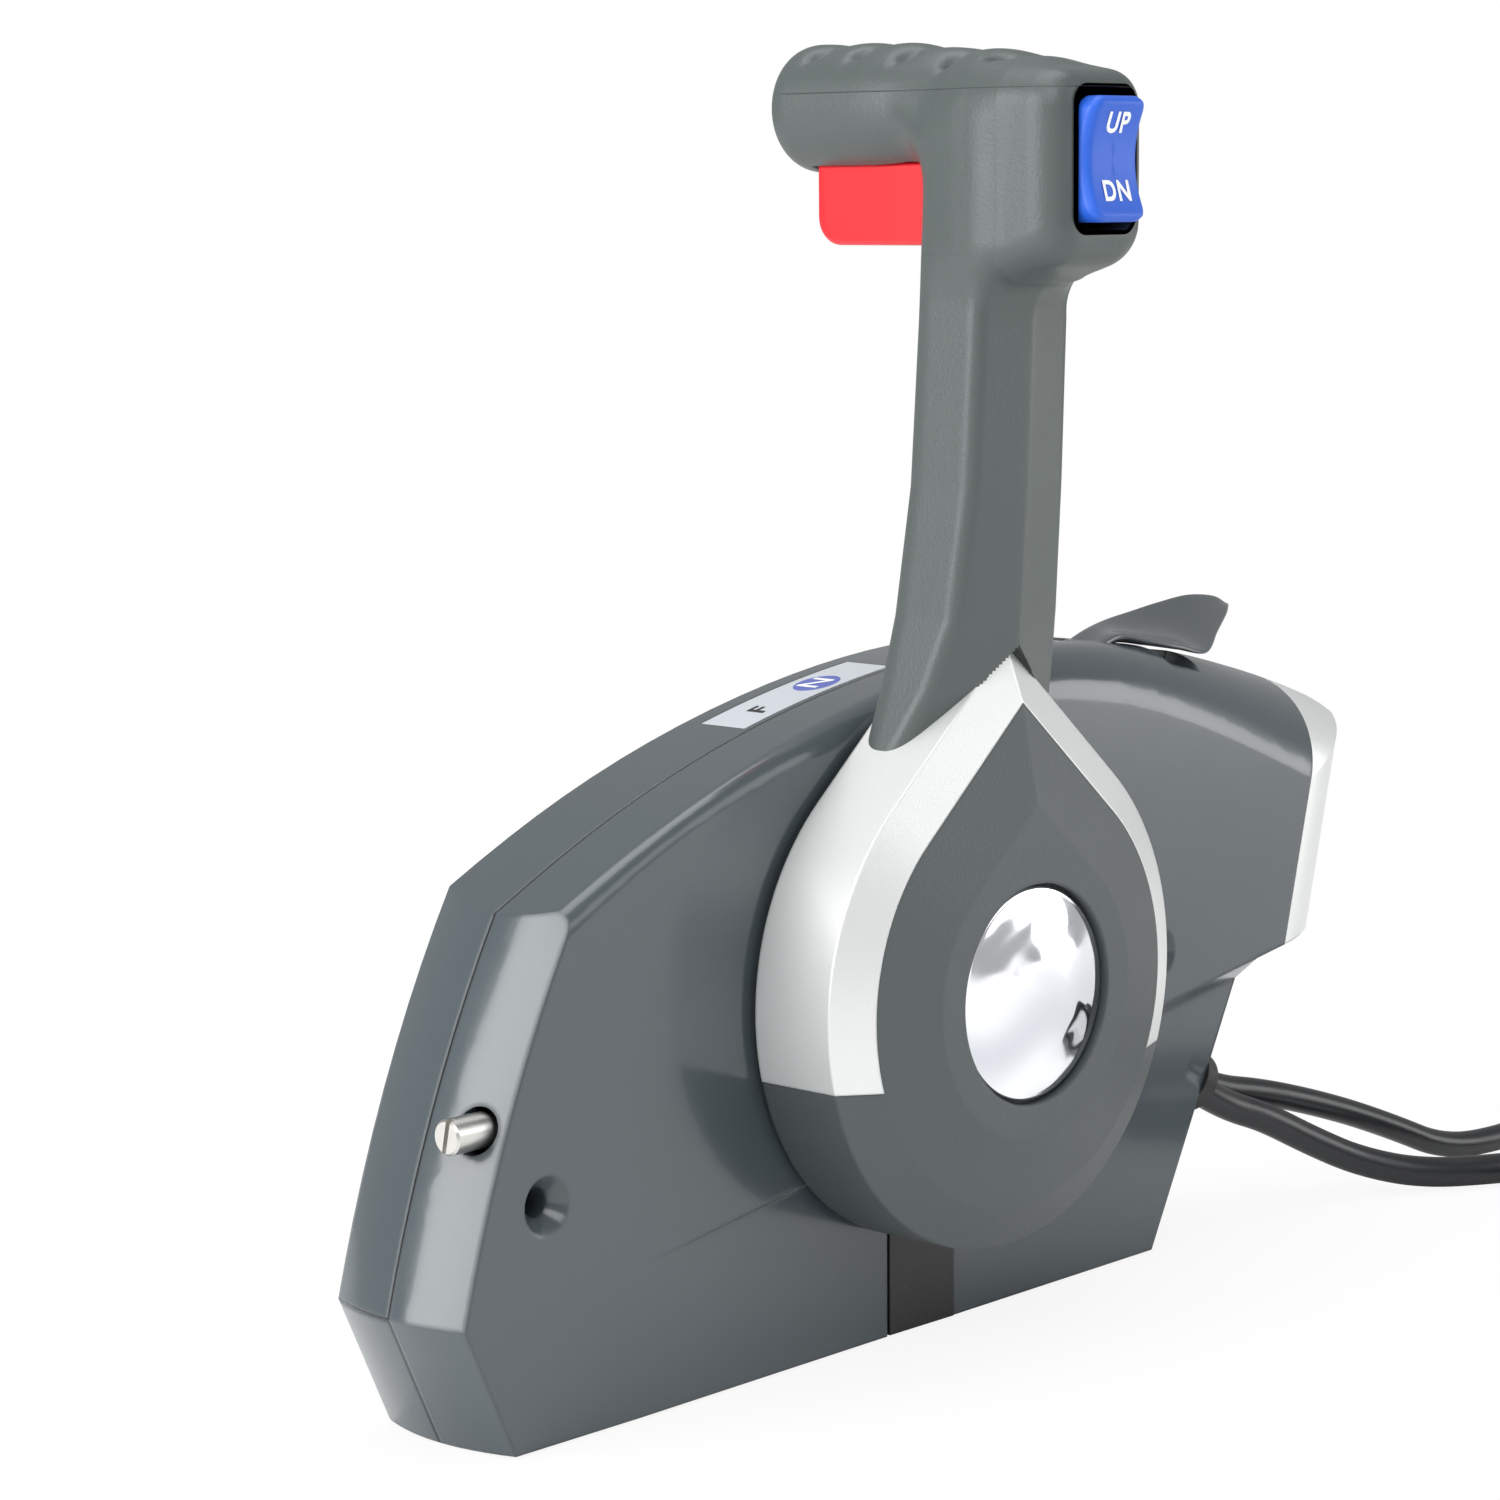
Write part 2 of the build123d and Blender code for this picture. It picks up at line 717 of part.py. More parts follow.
with BuildPart() as switch_plunger:
    with BuildSketch(across(plunger_tip_x)):
        with Locations((plunger_depth, switch_z)):
            Circle(plunger_r)
    extrude(amount=switch_left - plunger_tip_x + plunger_in - plunger_travel - 0.5)
    fillet(faces().sort_by(Axis.X)[0].edges(), radius=plunger_r * 0.6)
finish(switch_plunger, "switch_plunger")


# ---------------------------------------------------------------- gears
def gear_outline(teeth, phase):
    """Corners of a straight-flanked gear, one tooth centred at phase degrees."""
    corners = []
    pitch_r = gear_module * teeth / 2
    half = pi * gear_module / 4 - gear_backlash / 2
    for tooth in range(teeth):
        middle = radians(phase) + 2 * pi * tooth / teeth
        for radius, side in (
            (pitch_r - 1.25 * gear_module, -half - 0.28 * gear_module),
            (pitch_r + gear_module, -half + 0.4 * gear_module),
            (pitch_r + gear_module, half - 0.4 * gear_module),
            (pitch_r - 1.25 * gear_module, half + 0.28 * gear_module),
        ):
            angle = middle + side / radius
            corners.append((radius * cos(angle), radius * sin(angle)))
    return corners


def mesh_phase(direction, drive_phase):
    """Tooth phase of a driven gear lying in a direction from the drive gear."""
    pitch = 360 / drive_teeth
    offset = (drive_phase - direction + pitch / 2) % pitch - pitch / 2
    return direction + 180 - offset * drive_teeth / driven_teeth + 180 / driven_teeth


right_direction = degrees(atan2(gear_drop_z, gear_gap_x))
left_direction = -180 - right_direction

with BuildPart() as drive_gear:
    with BuildSketch(facing(gear_back)):
        with BuildLine():
            Polyline(*gear_outline(drive_teeth, right_direction), close=True)
        make_face()
        Circle(shaft_r, mode=Mode.SUBTRACT)
    extrude(amount=gear_thick)
    # rim that the friction shoe and the detent roller ride on
    with BuildSketch(facing(gear_front)):
        Circle(drum_r)
        Circle(shaft_boss_r + 2.0, mode=Mode.SUBTRACT)
        with PolarLocations(drum_r + 0.6 * roller_r, 3, start_angle=60, angular_range=60, endpoint=True):
            Circle(roller_r, mode=Mode.SUBTRACT)
    extrude(amount=gear_front - drum_front)
finish(drive_gear, "drive_gear")

with BuildPart() as main_shaft:
    with BuildSketch(facing(back_depth - 3.5)):
        Circle(shaft_r)
    extrude(amount=back_depth - 3.5 - core_back)
    with BuildSketch(facing(core_back)):
        Circle(bolt_r)
    extrude(amount=-bolt_length, mode=Mode.SUBTRACT)
finish(main_shaft, "main_shaft")

for name, along, direction in (
    ("shift", -gear_gap_x, left_direction),
    ("throttle", gear_gap_x, right_direction),
):
    with BuildPart() as gear:
        gear_middle = Plane(origin=point(along, gear_back, gear_drop_z), x_dir=(1, 0, 0), z_dir=(0, -1, 0))
        with BuildSketch(gear_middle):
            with BuildLine():
                Polyline(*gear_outline(driven_teeth, mesh_phase(direction, right_direction)), close=True)
            make_face()
            Circle(spindle_r + run, mode=Mode.SUBTRACT)
        extrude(amount=gear_thick)
    finish(gear, name + "_gear")
    with BuildPart() as arm:
        with BuildSketch(facing(gear_back + arm_plate_thick)):
            with Locations((along, gear_drop_z)):
                Circle(8.0)
            with Locations((along, gear_drop_z - throw)):
                Circle(trunnion_r + 1.5)
            with Locations((along, gear_drop_z - throw / 2)):
                Rectangle(9.0, throw)
            with Locations((along, gear_drop_z)):
                Circle(spindle_r + run, mode=Mode.SUBTRACT)
        extrude(amount=arm_plate_thick)
        with BuildSketch(facing(trunnion_back)):
            with Locations((along, gear_drop_z - throw)):
                Circle(trunnion_r)
        extrude(amount=trunnion_back - gear_back - arm_plate_thick)
        with BuildSketch(across(along - 10)):
            with Locations((trunnion_back - 3.5, gear_drop_z - throw)):
                Circle(1.2)
        extrude(amount=20, mode=Mode.SUBTRACT)
    finish(arm, name + "_arm")

# ---- detent: a leaf on its own pin, with a roller
with BuildPart() as detent_leaf:
    with BuildSketch(facing(detent_back)):
        with Locations(detent_pivot):
            Circle(detent_pin_r + 2.6)
        with BuildLine():
            Polyline(
                (detent_pivot[0], detent_pivot[1] - 4.0),
                (roller_x + 4.0, roller_z - 3.0),
                (roller_x + 4.0, roller_z + 3.6),
                (detent_pivot[0], detent_pivot[1] + 4.0),
                close=True,
            )
        make_face()
        with Locations(detent_pivot):
            Circle(detent_pin_r + run, mode=Mode.SUBTRACT)
    extrude(amount=detent_back - detent_front)
    with BuildSketch(facing(detent_front)):
        with Locations((roller_x, roller_z)):
            Circle(roller_pin_r)
    extrude(amount=detent_front - drum_front - 0.2)
finish(detent_leaf, "detent_leaf")

with BuildPart() as detent_roller:
    with BuildSketch(facing(detent_front - 0.4)):
        with Locations((roller_x, roller_z)):
            Circle(roller_r)
            Circle(roller_pin_r + run, mode=Mode.SUBTRACT)
    extrude(amount=detent_front - drum_front - 1.2)
finish(detent_roller, "detent_roller")

# ---- friction shoe and its screw
with BuildPart() as friction_shoe:
    with BuildSketch(facing(shoe_back)):
        with Locations((shoe_left + 9.0, screw_z)):
            Rectangle(18.0, 16.0)
        Circle(drum_r + shoe_gap, mode=Mode.SUBTRACT)
    extrude(amount=shoe_back - shoe_front)
    with BuildSketch(across(shoe_left)):
        with Locations((screw_depth, screw_z)):
            Circle(screw_tip_r + run)
    extrude(amount=shoe_socket, mode=Mode.SUBTRACT)
finish(friction_shoe, "friction_shoe")

with BuildPart() as friction_screw:
    with BuildSketch(across(screw_head_x)):
        with Locations((screw_depth, screw_z)):
            Circle(screw_r)
    extrude(amount=screw_head_length)
    chamfer(faces().sort_by(Axis.X)[0].edges(), length=0.5)
    with BuildSketch(across(screw_head_x)):
        with Locations((screw_depth, screw_z)):
            Rectangle(1.2, 9.0, rotation=12)
    extrude(amount=1.8, mode=Mode.SUBTRACT)
    with BuildSketch(across(screw_head_x + screw_head_length)):
        with Locations((screw_depth, screw_z)):
            Circle(screw_shank_r)
    extrude(amount=screw_shank_end - screw_head_x - screw_head_length)
    with BuildSketch(across(screw_shank_end)):
        with Locations((screw_depth, screw_z)):
            Circle(screw_tip_r)
    extrude(amount=shoe_left + shoe_socket - 0.1 - screw_shank_end)
finish(friction_screw, "friction_screw")


# ---------------------------------------------------------------- hub
half_apex = asin(hub_r / apex_z)


def teardrop(depth, inset):
    """Hub outline at a depth: a circle with two tangents meeting above it."""
    r = hub_r - inset
    peak = apex_z - inset / sin(half_apex)
    side = (r * cos(half_apex), r * sin(half_apex))
    with BuildSketch(facing(depth)) as outline:
        with BuildLine():
            Line((0, peak), (-side[0], side[1]))
            ThreePointArc((-side[0], side[1]), (0, -r), side)
            Line(side, (0, peak))
        make_face()
    return outline.sketch


def hub_volume(inset, back):
    """The hub's body: side wall and chamfered rim, moved in by inset."""
    with BuildPart() as body:
        extrude(teardrop(back, inset), amount=back - inset * 0.8)
        loft(
            sections=[
                teardrop(inset * 0.8, inset),
                teardrop(inset * 0.8 - hub_chamfer_rise, inset + hub_chamfer),
            ],
            ruled=True,
        )
    return body.part


with BuildPart() as arm_passage:
    with BuildSketch(level(crown_r)):
        with Locations((0, (core_front + rod_y + 3.6) / 2)):
            Rectangle(2 * core_half + 0.4, rod_y + 3.6 - core_front + 0.4)
    extrude(amount=apex_z)

with BuildPart() as hub_trim:
    add(hub_volume(0.0, hub_depth))
    add(hub_volume(trim_thick, hub_depth + 4), mode=Mode.SUBTRACT)
    extrude(teardrop(hub_depth + 4, hub_chamfer), amount=60, mode=Mode.SUBTRACT)
    split(bisect_by=Plane(origin=point(0, 0, trim_end_z), z_dir=(0.05, 0, 1)), keep=Keep.TOP)
    add(arm_passage.part, mode=Mode.SUBTRACT)
finish(hub_trim, "hub_trim")

with BuildPart() as hub_cover:
    add(hub_volume(0.0, hub_depth))
    # crowned face inside the rim
    loft(
        sections=[teardrop(-hub_chamfer_rise, hub_chamfer), teardrop(-crown_rise, hub_r - crown_r)],
        ruled=True,
    )
    add(hub_trim.part, mode=Mode.SUBTRACT)
    # hollow behind
    extrude(teardrop(hub_depth, trim_thick + hub_wall), amount=hub_depth - 3.0, mode=Mode.SUBTRACT)
    extrude(teardrop(3.5, trim_thick + hub_wall + 7.0), amount=6.0, mode=Mode.SUBTRACT)
    # well for the emblem
    with BuildSketch(facing(emblem_well_depth - crown_rise)):
        Circle(emblem_r + 0.8)
    extrude(amount=20.0, mode=Mode.SUBTRACT)
    # posts that screw to the lever core
    with BuildSketch(facing(core_front)):
        with PolarLocations(hub_post_ring, 3, start_angle=-90):
            Circle(3.2)
    extrude(amount=core_front + 2.6)
    with BuildSketch(facing(core_front)):
        with PolarLocations(hub_post_ring, 3, start_angle=-90):
            Circle(pilot_r)
    extrude(amount=3.0, mode=Mode.SUBTRACT)
    add(arm_passage.part, mode=Mode.SUBTRACT)
finish(hub_cover, "hub_cover")

with BuildPart() as emblem_disc:
    rim_front = emblem_well_depth - crown_rise - emblem_rim
    with BuildSketch(facing(emblem_well_depth - crown_rise)):
        Circle(emblem_r)
    extrude(amount=emblem_rim)
    for outer_part, inner_part in ((1.0, 0.8), (0.8, 0.5), (0.5, 0.15)):
        for part_of_r in (outer_part, inner_part):
            with BuildSketch(facing(rim_front - emblem_dome * (1 - part_of_r**2))):
                Circle(emblem_r * part_of_r)
        loft(ruled=True)
finish(emblem_disc, "emblem_disc")

# ---------------------------------------------------------------- lever
with BuildPart() as lever_core:
    with BuildSketch(facing(core_back)):
        Circle(core_disc_r)
        with Locations((0, core_top_z / 2)):
            Rectangle(2 * core_half, core_top_z)
        Circle(bolt_r, mode=Mode.SUBTRACT)
        with PolarLocations(hub_post_ring, 3, start_angle=-90):
            Circle(pilot_r, mode=Mode.SUBTRACT)
    extrude(amount=core_back - core_front)
finish(lever_core, "lever_core")

with BuildPart() as lever_bolt:
    with BuildSketch(facing(core_front)):
        RegularPolygon(radius=6.5, side_count=6)
    extrude(amount=3.0)
    with BuildSketch(facing(core_front)):
        Circle(bolt_r)
    extrude(amount=-(core_back - core_front + bolt_length))
finish(lever_bolt, "lever_bolt")

with BuildPart() as hub_screws:
    with BuildSketch(facing(core_back + 1.8)):
        with PolarLocations(hub_post_ring, 3, start_angle=-90):
            Circle(2.8)
    extrude(amount=1.8)
    with BuildSketch(facing(core_back)):
        with PolarLocations(hub_post_ring, 3, start_angle=-90):
            Circle(pilot_r)
    extrude(amount=core_back - core_front + 2.8)
finish(hub_screws, "hub_screws")

# height, half width, front ridge, front of the side corners, back
arm_sections = [
    (56.0, arm_flare_half, -2.0, 10.0, hub_depth),
    (70.0, 22.0, -3.3, 4.0, 21.2),
    (86.0, arm_half_low, arm_front_low - 0.4, -0.4, arm_back_low),
    (115.0, 16.6, -6.4, -3.6, 17.0),
    (152.0, arm_half_top, arm_front_top, -5.4, arm_back_top),
    (178.0, arm_half_top - 0.4, arm_front_top, -5.6, arm_back_top - 1.0),
]

with BuildPart() as handle_shell:
    # arm, ridged along its front
    for height, half, ridge, corner, back in arm_sections:
        with BuildSketch(level(height)):
            with BuildLine():
                Polyline(
                    (0, ridge),
                    (half, corner),
                    (half + 0.6, (corner + back) / 2),
                    (half - 0.4, back - 4.0),
                    (half - 4.0, back),
                    (4.0 - half, back),
                    (0.4 - half, back - 4.0),
                    (-half - 0.6, (corner + back) / 2),
                    (-half, corner),
                    close=True,
                )
            make_face()
    loft()
    extrude(teardrop(hub_depth + 6, 0.0), amount=60, mode=Mode.SUBTRACT)
    # grip, thinner toward the operator
    with BuildSketch(across(0)):
        with BuildLine():
            Line((pod_back_y, grip_z), (grip_end_y, grip_z))
            Line((grip_end_y, grip_z), (grip_end_y, grip_z + grip_r - 5.5))
            TangentArc(
                (grip_end_y, grip_z + grip_r - 5.5),
                (grip_end_y - 6.0, grip_z + grip_r - 0.3),
                tangent=(0, 1),
            )
            Line((grip_end_y - 6.0, grip_z + grip_r - 0.3), (34.0, grip_z + grip_r))
            Spline(
                (34.0, grip_z + grip_r),
                (12.0, grip_z + grip_r - 2.4),
                (pod_back_y, grip_z + grip_r - 5.0),
                tangents=((-1, 0.05), (-1, -0.1)),
            )
            Line((pod_back_y, grip_z + grip_r - 5.0), (pod_back_y, grip_z))
        make_face()
    revolve(axis=Axis(point(0, 0, grip_z), (0, 1, 0)))
    # web under the grip, behind the arm
    with BuildSketch(across(-9.0)):
        with BuildLine():
            Polyline(
                (0, 176.0),
                (arm_back_top - 1.5, 168.0),
                (arm_back_top + 1.5, 178.0),
                (arm_back_top + 6.0, 183.5),
                (arm_back_top + 14.0, 188.0),
                (0, 192.0),
                close=True,
            )
        make_face()
    extrude(amount=18.0)
    # pod that holds the trim rocker
    for depth, half_x, low, top, rounding in (
        (pod_front_y, pod_half_x, pod_z - pod_half_z, pod_z + pod_half_z, 5.5),
        (-12.0, arm_half_top, pod_z - pod_half_z - 5.0, pod_z + pod_half_z + 1.0, 6.0),
        (4.0, arm_half_top - 1.0, pod_z - pod_half_z - 4.0, pod_z + pod_half_z + 2.5, 7.0),
    ):
        with BuildSketch(facing(depth)):
            with Locations((0, (low + top) / 2)):
                RectangleRounded(2 * half_x, top - low, rounding)
    loft()
    # hollow and opening for the rocker and its switch
    with BuildSketch(facing(switch_body_back)):
        with Locations((0, rocker_z)):
            RectangleRounded(2 * (rocker_half_x + rocker_gap), 2 * (rocker_half_z + 1.6), 2.0)
    extrude(amount=switch_body_back - pod_front_y + 1.0, mode=Mode.SUBTRACT)
    # channel for the metal core
    with BuildSketch(level(crown_r)):
        with Locations((0, (core_front + core_back) / 2)):
            Rectangle(2 * core_half, core_back - core_front)
    extrude(amount=core_top_z - crown_r, mode=Mode.SUBTRACT)
    # channel for the lock rod and its spring, narrowing to the spring's seat
    with BuildSketch(level(crown_r)):
        with Locations((0, rod_y)):
            Rectangle(2 * channel_half, 2 * (channel_half - 1.8))
    extrude(amount=spring_top_z - crown_r, mode=Mode.SUBTRACT)
    with BuildSketch(level(spring_top_z - 1.0)):
        with Locations((0, rod_y)):
            Circle(lock_rod_r + 0.3)
    extrude(amount=lock_bar_top - spring_top_z, mode=Mode.SUBTRACT)
    # slot that the lock bar lifts into
    with BuildSketch(across(-lock_bar_half - gap)):
        with BuildLine():
            Polyline(
                (rod_y - 3.4, lock_bar_top - 6.4),
                (arm_back_top - 1.5, lock_bar_top - 6.4),
                (arm_back_top - 1.5, lock_bar_low - 1.0),
                (lock_bar_back + gap, lock_bar_low - 1.0),
                (lock_bar_back + gap, lock_bar_top + lock_travel + gap),
                (rod_y - 3.4, lock_bar_top + lock_travel + gap),
                close=True,
            )
        make_face()
    extrude(amount=2 * (lock_bar_half + gap), mode=Mode.SUBTRACT)
finish(handle_shell, "handle_shell")

with BuildPart() as trim_switch_body:
    with BuildSketch(facing(switch_body_back)):
        with Locations((0, rocker_z)):
            Rectangle(2 * rocker_half_x, 2 * rocker_half_z - 1.0)
    extrude(amount=switch_body_back - switch_body_front)
    with BuildSketch(across(-rocker_half_x)):
        with Locations((rocker_pivot_y, rocker_z)):
            Circle(2.8)
        with Locations(((rocker_pivot_y + switch_body_front) / 2 + 0.5, rocker_z)):
            Rectangle(switch_body_front - rocker_pivot_y + 1.0, 5.6)
    extrude(amount=2 * rocker_half_x)
    # slot for the rocker's own hub, and the pin's hole
    with BuildSketch(across(-rocker_lug_half - 0.3)):
        with Locations((rocker_pivot_y, rocker_z)):
            Circle(3.4)
        with Locations((rocker_pivot_y - 2.0, rocker_z)):
            Rectangle(4.0, 6.8)
    extrude(amount=2 * rocker_lug_half + 0.6, mode=Mode.SUBTRACT)
    with BuildSketch(across(-rocker_half_x - 1)):
        with Locations((rocker_pivot_y, rocker_z)):
            Circle(rocker_pin_r)
    extrude(amount=2 * rocker_half_x + 2, mode=Mode.SUBTRACT)
finish(trim_switch_body, "trim_switch_body")

with BuildPart() as rocker_pin:
    with BuildSketch(across(-rocker_half_x)):
        with Locations((rocker_pivot_y, rocker_z)):
            Circle(rocker_pin_r)
    extrude(amount=2 * rocker_half_x)
finish(rocker_pin, "rocker_pin")

with BuildPart() as trim_rocker:
    with BuildSketch(across(-rocker_half_x)):
        with BuildLine():
            low = rocker_z - rocker_half_z
            high = rocker_z + rocker_half_z
            Line((rocker_back_y, low), (rocker_back_y, high))
            Line((rocker_back_y, high), (1.5 - front_reach, high - 0.6))
            Line((1.5 - front_reach, high - 0.6), (-front_reach, high - 2.4))
            ThreePointArc((-front_reach, high - 2.4), (3.0 - front_reach, rocker_z), (-front_reach, low + 2.4))
            Line((-front_reach, low + 2.4), (1.5 - front_reach, low + 0.6))
            Line((1.5 - front_reach, low + 0.6), (rocker_back_y, low))
        make_face()
    extrude(amount=2 * rocker_half_x)
    # clearance round the switch's two ears
    with BuildSketch(across(-rocker_half_x)):
        with Locations((rocker_pivot_y, rocker_z)):
            Circle(3.3)
    extrude(amount=2 * rocker_half_x, mode=Mode.SUBTRACT)
    with BuildSketch(across(-rocker_lug_half)):
        with Locations((rocker_pivot_y, rocker_z)):
            Circle(2.9)
        with Locations((rocker_pivot_y - 2.0, rocker_z)):
            Rectangle(4.0, 5.0)
    extrude(amount=2 * rocker_lug_half)
    with BuildSketch(across(-rocker_half_x)):
        with Locations((rocker_pivot_y, rocker_z)):
            Circle(rocker_pin_r + run)
    extrude(amount=2 * rocker_half_x, mode=Mode.SUBTRACT)
finish(trim_rocker, "trim_rocker")

# ---------------------------------------------------------------- neutral lock
with BuildPart() as lock_bar:
    with BuildSketch(across(-lock_bar_half)):
        with BuildLine():
            Polyline(
                (rod_y - 3.0, lock_bar_top - 6.0),
                (lock_bar_front, lock_bar_top - 6.0),
                (lock_bar_front, lock_bar_low),
                (lock_bar_back, lock_bar_low),
                (lock_bar_back, lock_bar_top),
                (rod_y - 3.0, lock_bar_top),
                close=True,
            )
        make_face()
        fillet(vertices().sort_by(Axis.X)[-1], radius=3.0)
    extrude(amount=2 * lock_bar_half)
    with BuildSketch(level(lock_bar_top - 7.0)):
        with Locations((0, rod_y)):
            Circle(lock_rod_r)
    extrude(amount=6.0, mode=Mode.SUBTRACT)
finish(lock_bar, "lock_bar")

with BuildPart() as lock_rod:
    with BuildSketch(level(lock_pin_z)):
        with Locations((0, rod_y)):
            Circle(lock_rod_r)
    extrude(amount=lock_bar_top - 1.0 - lock_pin_z)
    with BuildSketch(level(spring_low_z - 3.0)):
        with Locations((0, rod_y)):
            Circle(spring_r)
    extrude(amount=3.0)
finish(lock_rod, "lock_rod")

with BuildPart() as lock_pin:
    with BuildSketch(facing(face_depth - gap)):
        with Locations((0, lock_pin_z)):
            Circle(lock_pin_r)
    extrude(amount=face_depth - gap - rod_y + 2.8)
    with BuildSketch(level(lock_pin_z)):
        with Locations((0, rod_y)):
            Circle(lock_rod_r)
    extrude(amount=10.0, mode=Mode.SUBTRACT)
finish(lock_pin, "lock_pin")

with BuildPart() as lock_spring:
    with BuildSketch(level(spring_low_z)):
        with Locations((0, rod_y)):
            Circle(spring_r)
            Circle(lock_rod_r + 0.3, mode=Mode.SUBTRACT)
    extrude(amount=spring_top_z - spring_low_z)
finish(lock_spring, "lock_spring")

# ---------------------------------------------------------------- fast idle lever
# along, near edge depth and height, far edge depth and height, thickness
blade_sections = [
    (80.0, 37.9, 67.8, 49.1, 67.8, 3.4),
    (91.0, 37.9, 70.6, 49.1, 71.6, 2.8),
    (100.0, 35.2, 68.6, 50.8, 73.0, 2.6),
    (110.0, 34.0, 66.4, 51.0, 74.2, 2.5),
    (121.0, 34.4, 64.0, 51.0, 75.6, 2.4),
    (134.0, 41.0, 68.6, 51.0, 76.6, 2.3),
    (145.0, 46.4, 71.6, 51.0, 75.2, 2.2),
    (150.0, 49.4, 71.6, 50.8, 72.6, 2.0),
]

with BuildPart() as idle_lever:
    for along, near, near_z, far, far_z, thick in blade_sections:
        with BuildSketch(across(along)):
            with BuildLine():
                Polyline(
                    (near, near_z),
                    ((near + far) / 2, (near_z + far_z) / 2 - blade_dish * (far - near) / 17.0),
                    (far, far_z),
                    (far, far_z + thick),
                    ((near + far) / 2, (near_z + far_z) / 2 + thick - blade_dish * (far - near) / 17.0),
                    (near, near_z + thick),
                    close=True,
                )
            make_face()
    loft(ruled=True)
    with BuildSketch(facing(idle_back)):
        with Locations((idle_x, idle_z)):
            Circle(idle_drum_r)
    extrude(amount=idle_back - idle_front)
    with BuildSketch(facing(idle_back + 1)):
        with Locations((idle_x, idle_z)):
            Circle(idle_pin_r + run)
    extrude(amount=idle_back - idle_front + 2, mode=Mode.SUBTRACT)
finish(idle_lever, "idle_lever")


# ---------------------------------------------------------------- leads
def lead_start(spot):
    """Where a lead leaves the grommet's face."""
    return slant.offset(grommet_flange_height).from_local_coords((spot[0], spot[1], 0))


def lead(name, spot, route, radius, coil_at, coil_r):
    """A lead: free stretch, its wound coil, and the two meeting face to face."""
    places = [Vector(*point(along, depth, up - pivot_height)) for along, depth, up in route]
    start = lead_start(spot)
    places = [start, start + slant.z_dir * lead_straight] + places
    bends = []
    for before, corner, after in zip(places, places[1:], places[2:]):
        turn = radians((corner - before).get_angle(after - corner))
        shorter = min((corner - before).length, (after - corner).length)
        bends.append(0.45 * shorter / tan(turn / 2))
    print(name, "bend radii", [round(bend) for bend in bends], "diameter", 2 * radius)
    coil_out = coil_r + coil_turns * radius
    coil_in = coil_r - coil_turns * radius
    with BuildPart() as tube:
        with BuildLine() as path:
            FilletPolyline(*places, radius=bends)
        with BuildSketch(Plane(origin=path.line @ 0, z_dir=path.line % 0)):
            Circle(radius)
        sweep()
        length = sum(edge.length for edge in path.edges())
        print(name, "volume", round(tube.part.volume), "of", round(pi * radius**2 * length), "mm3")
        with BuildSketch(level(-pivot_height - 5)):
            with Locations(coil_at):
                Circle(coil_out)
        extrude(amount=30, mode=Mode.SUBTRACT)
    finish(tube, name)
    with BuildPart() as coil:
        with BuildSketch(level(-pivot_height)):
            with Locations(coil_at):
                Circle(coil_out)
                Circle(coil_in, mode=Mode.SUBTRACT)
        extrude(amount=2 * radius)
    finish(coil, name + "_coil")
    print(name, "whole length", round(length + coil_turns * 2 * pi * coil_r))
    return coil_in


def connector(name, coil_at, coil_in, tail_r, body_r, back, front):
    """Round connector lying inside the coil, with a tail that meets the coil."""
    chord = coil_at[1] + tail_offset
    with BuildPart() as plug:
        with BuildSketch(across(coil_at[0] - coil_in)):
            with Locations((chord, tail_r - pivot_height)):
                Circle(tail_r)
        extrude(amount=coil_in + back)
        with BuildSketch(across(coil_at[0] + back)):
            with Locations((chord, body_r + 1.0 - pivot_height)):
                Circle(body_r)
        extrude(amount=front - back)
        with BuildSketch(across(coil_at[0] + front - 9.0)):
            with Locations((chord, body_r + 1.0 - pivot_height)):
                Circle(body_r + 1.0)
        extrude(amount=5.0)
        with BuildSketch(level(-pivot_height)):
            with Locations(coil_at):
                Circle(coil_in)
        extrude(amount=40, mode=Mode.INTERSECT)
    finish(plug, name)


trim_coil_in = lead("trim_lead", trim_lead_spot, trim_lead_route, trim_lead_r, trim_coil_at, trim_coil_r)
harness_coil_in = lead(
    "harness_lead", harness_lead_spot, harness_lead_route, harness_lead_r, harness_coil_at, harness_coil_r
)
connector("trim_connector", trim_coil_at, trim_coil_in, trim_lead_r, 7.0, -8.0, 20.0)
connector("harness_connector", harness_coil_at, harness_coil_in, harness_lead_r, 9.5, -11.0, 19.0)
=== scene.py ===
"""Looks of a side-mount boat throttle control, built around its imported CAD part.

Helper place() takes millimetres from the lever's pivot: x aft, y toward the wall, z up.
"""

import json
from math import cos, pi, radians, sin

import bpy
import numpy as np
from mathutils import Matrix, Vector


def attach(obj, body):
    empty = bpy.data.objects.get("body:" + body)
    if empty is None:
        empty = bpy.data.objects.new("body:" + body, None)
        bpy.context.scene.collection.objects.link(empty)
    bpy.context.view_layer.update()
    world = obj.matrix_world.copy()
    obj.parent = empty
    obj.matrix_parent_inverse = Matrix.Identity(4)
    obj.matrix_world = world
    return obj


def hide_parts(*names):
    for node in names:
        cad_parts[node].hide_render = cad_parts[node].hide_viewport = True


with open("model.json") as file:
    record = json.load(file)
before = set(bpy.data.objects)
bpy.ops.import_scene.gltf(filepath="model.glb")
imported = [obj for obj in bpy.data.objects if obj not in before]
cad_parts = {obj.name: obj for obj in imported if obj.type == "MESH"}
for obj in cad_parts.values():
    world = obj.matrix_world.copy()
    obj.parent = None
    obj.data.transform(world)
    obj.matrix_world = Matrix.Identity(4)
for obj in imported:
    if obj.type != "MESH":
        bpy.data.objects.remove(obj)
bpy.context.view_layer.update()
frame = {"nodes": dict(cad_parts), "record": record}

PIVOT = np.array([-14.45, -15.5, 84.0])
# millimetres in a metre
MM = 1000.0
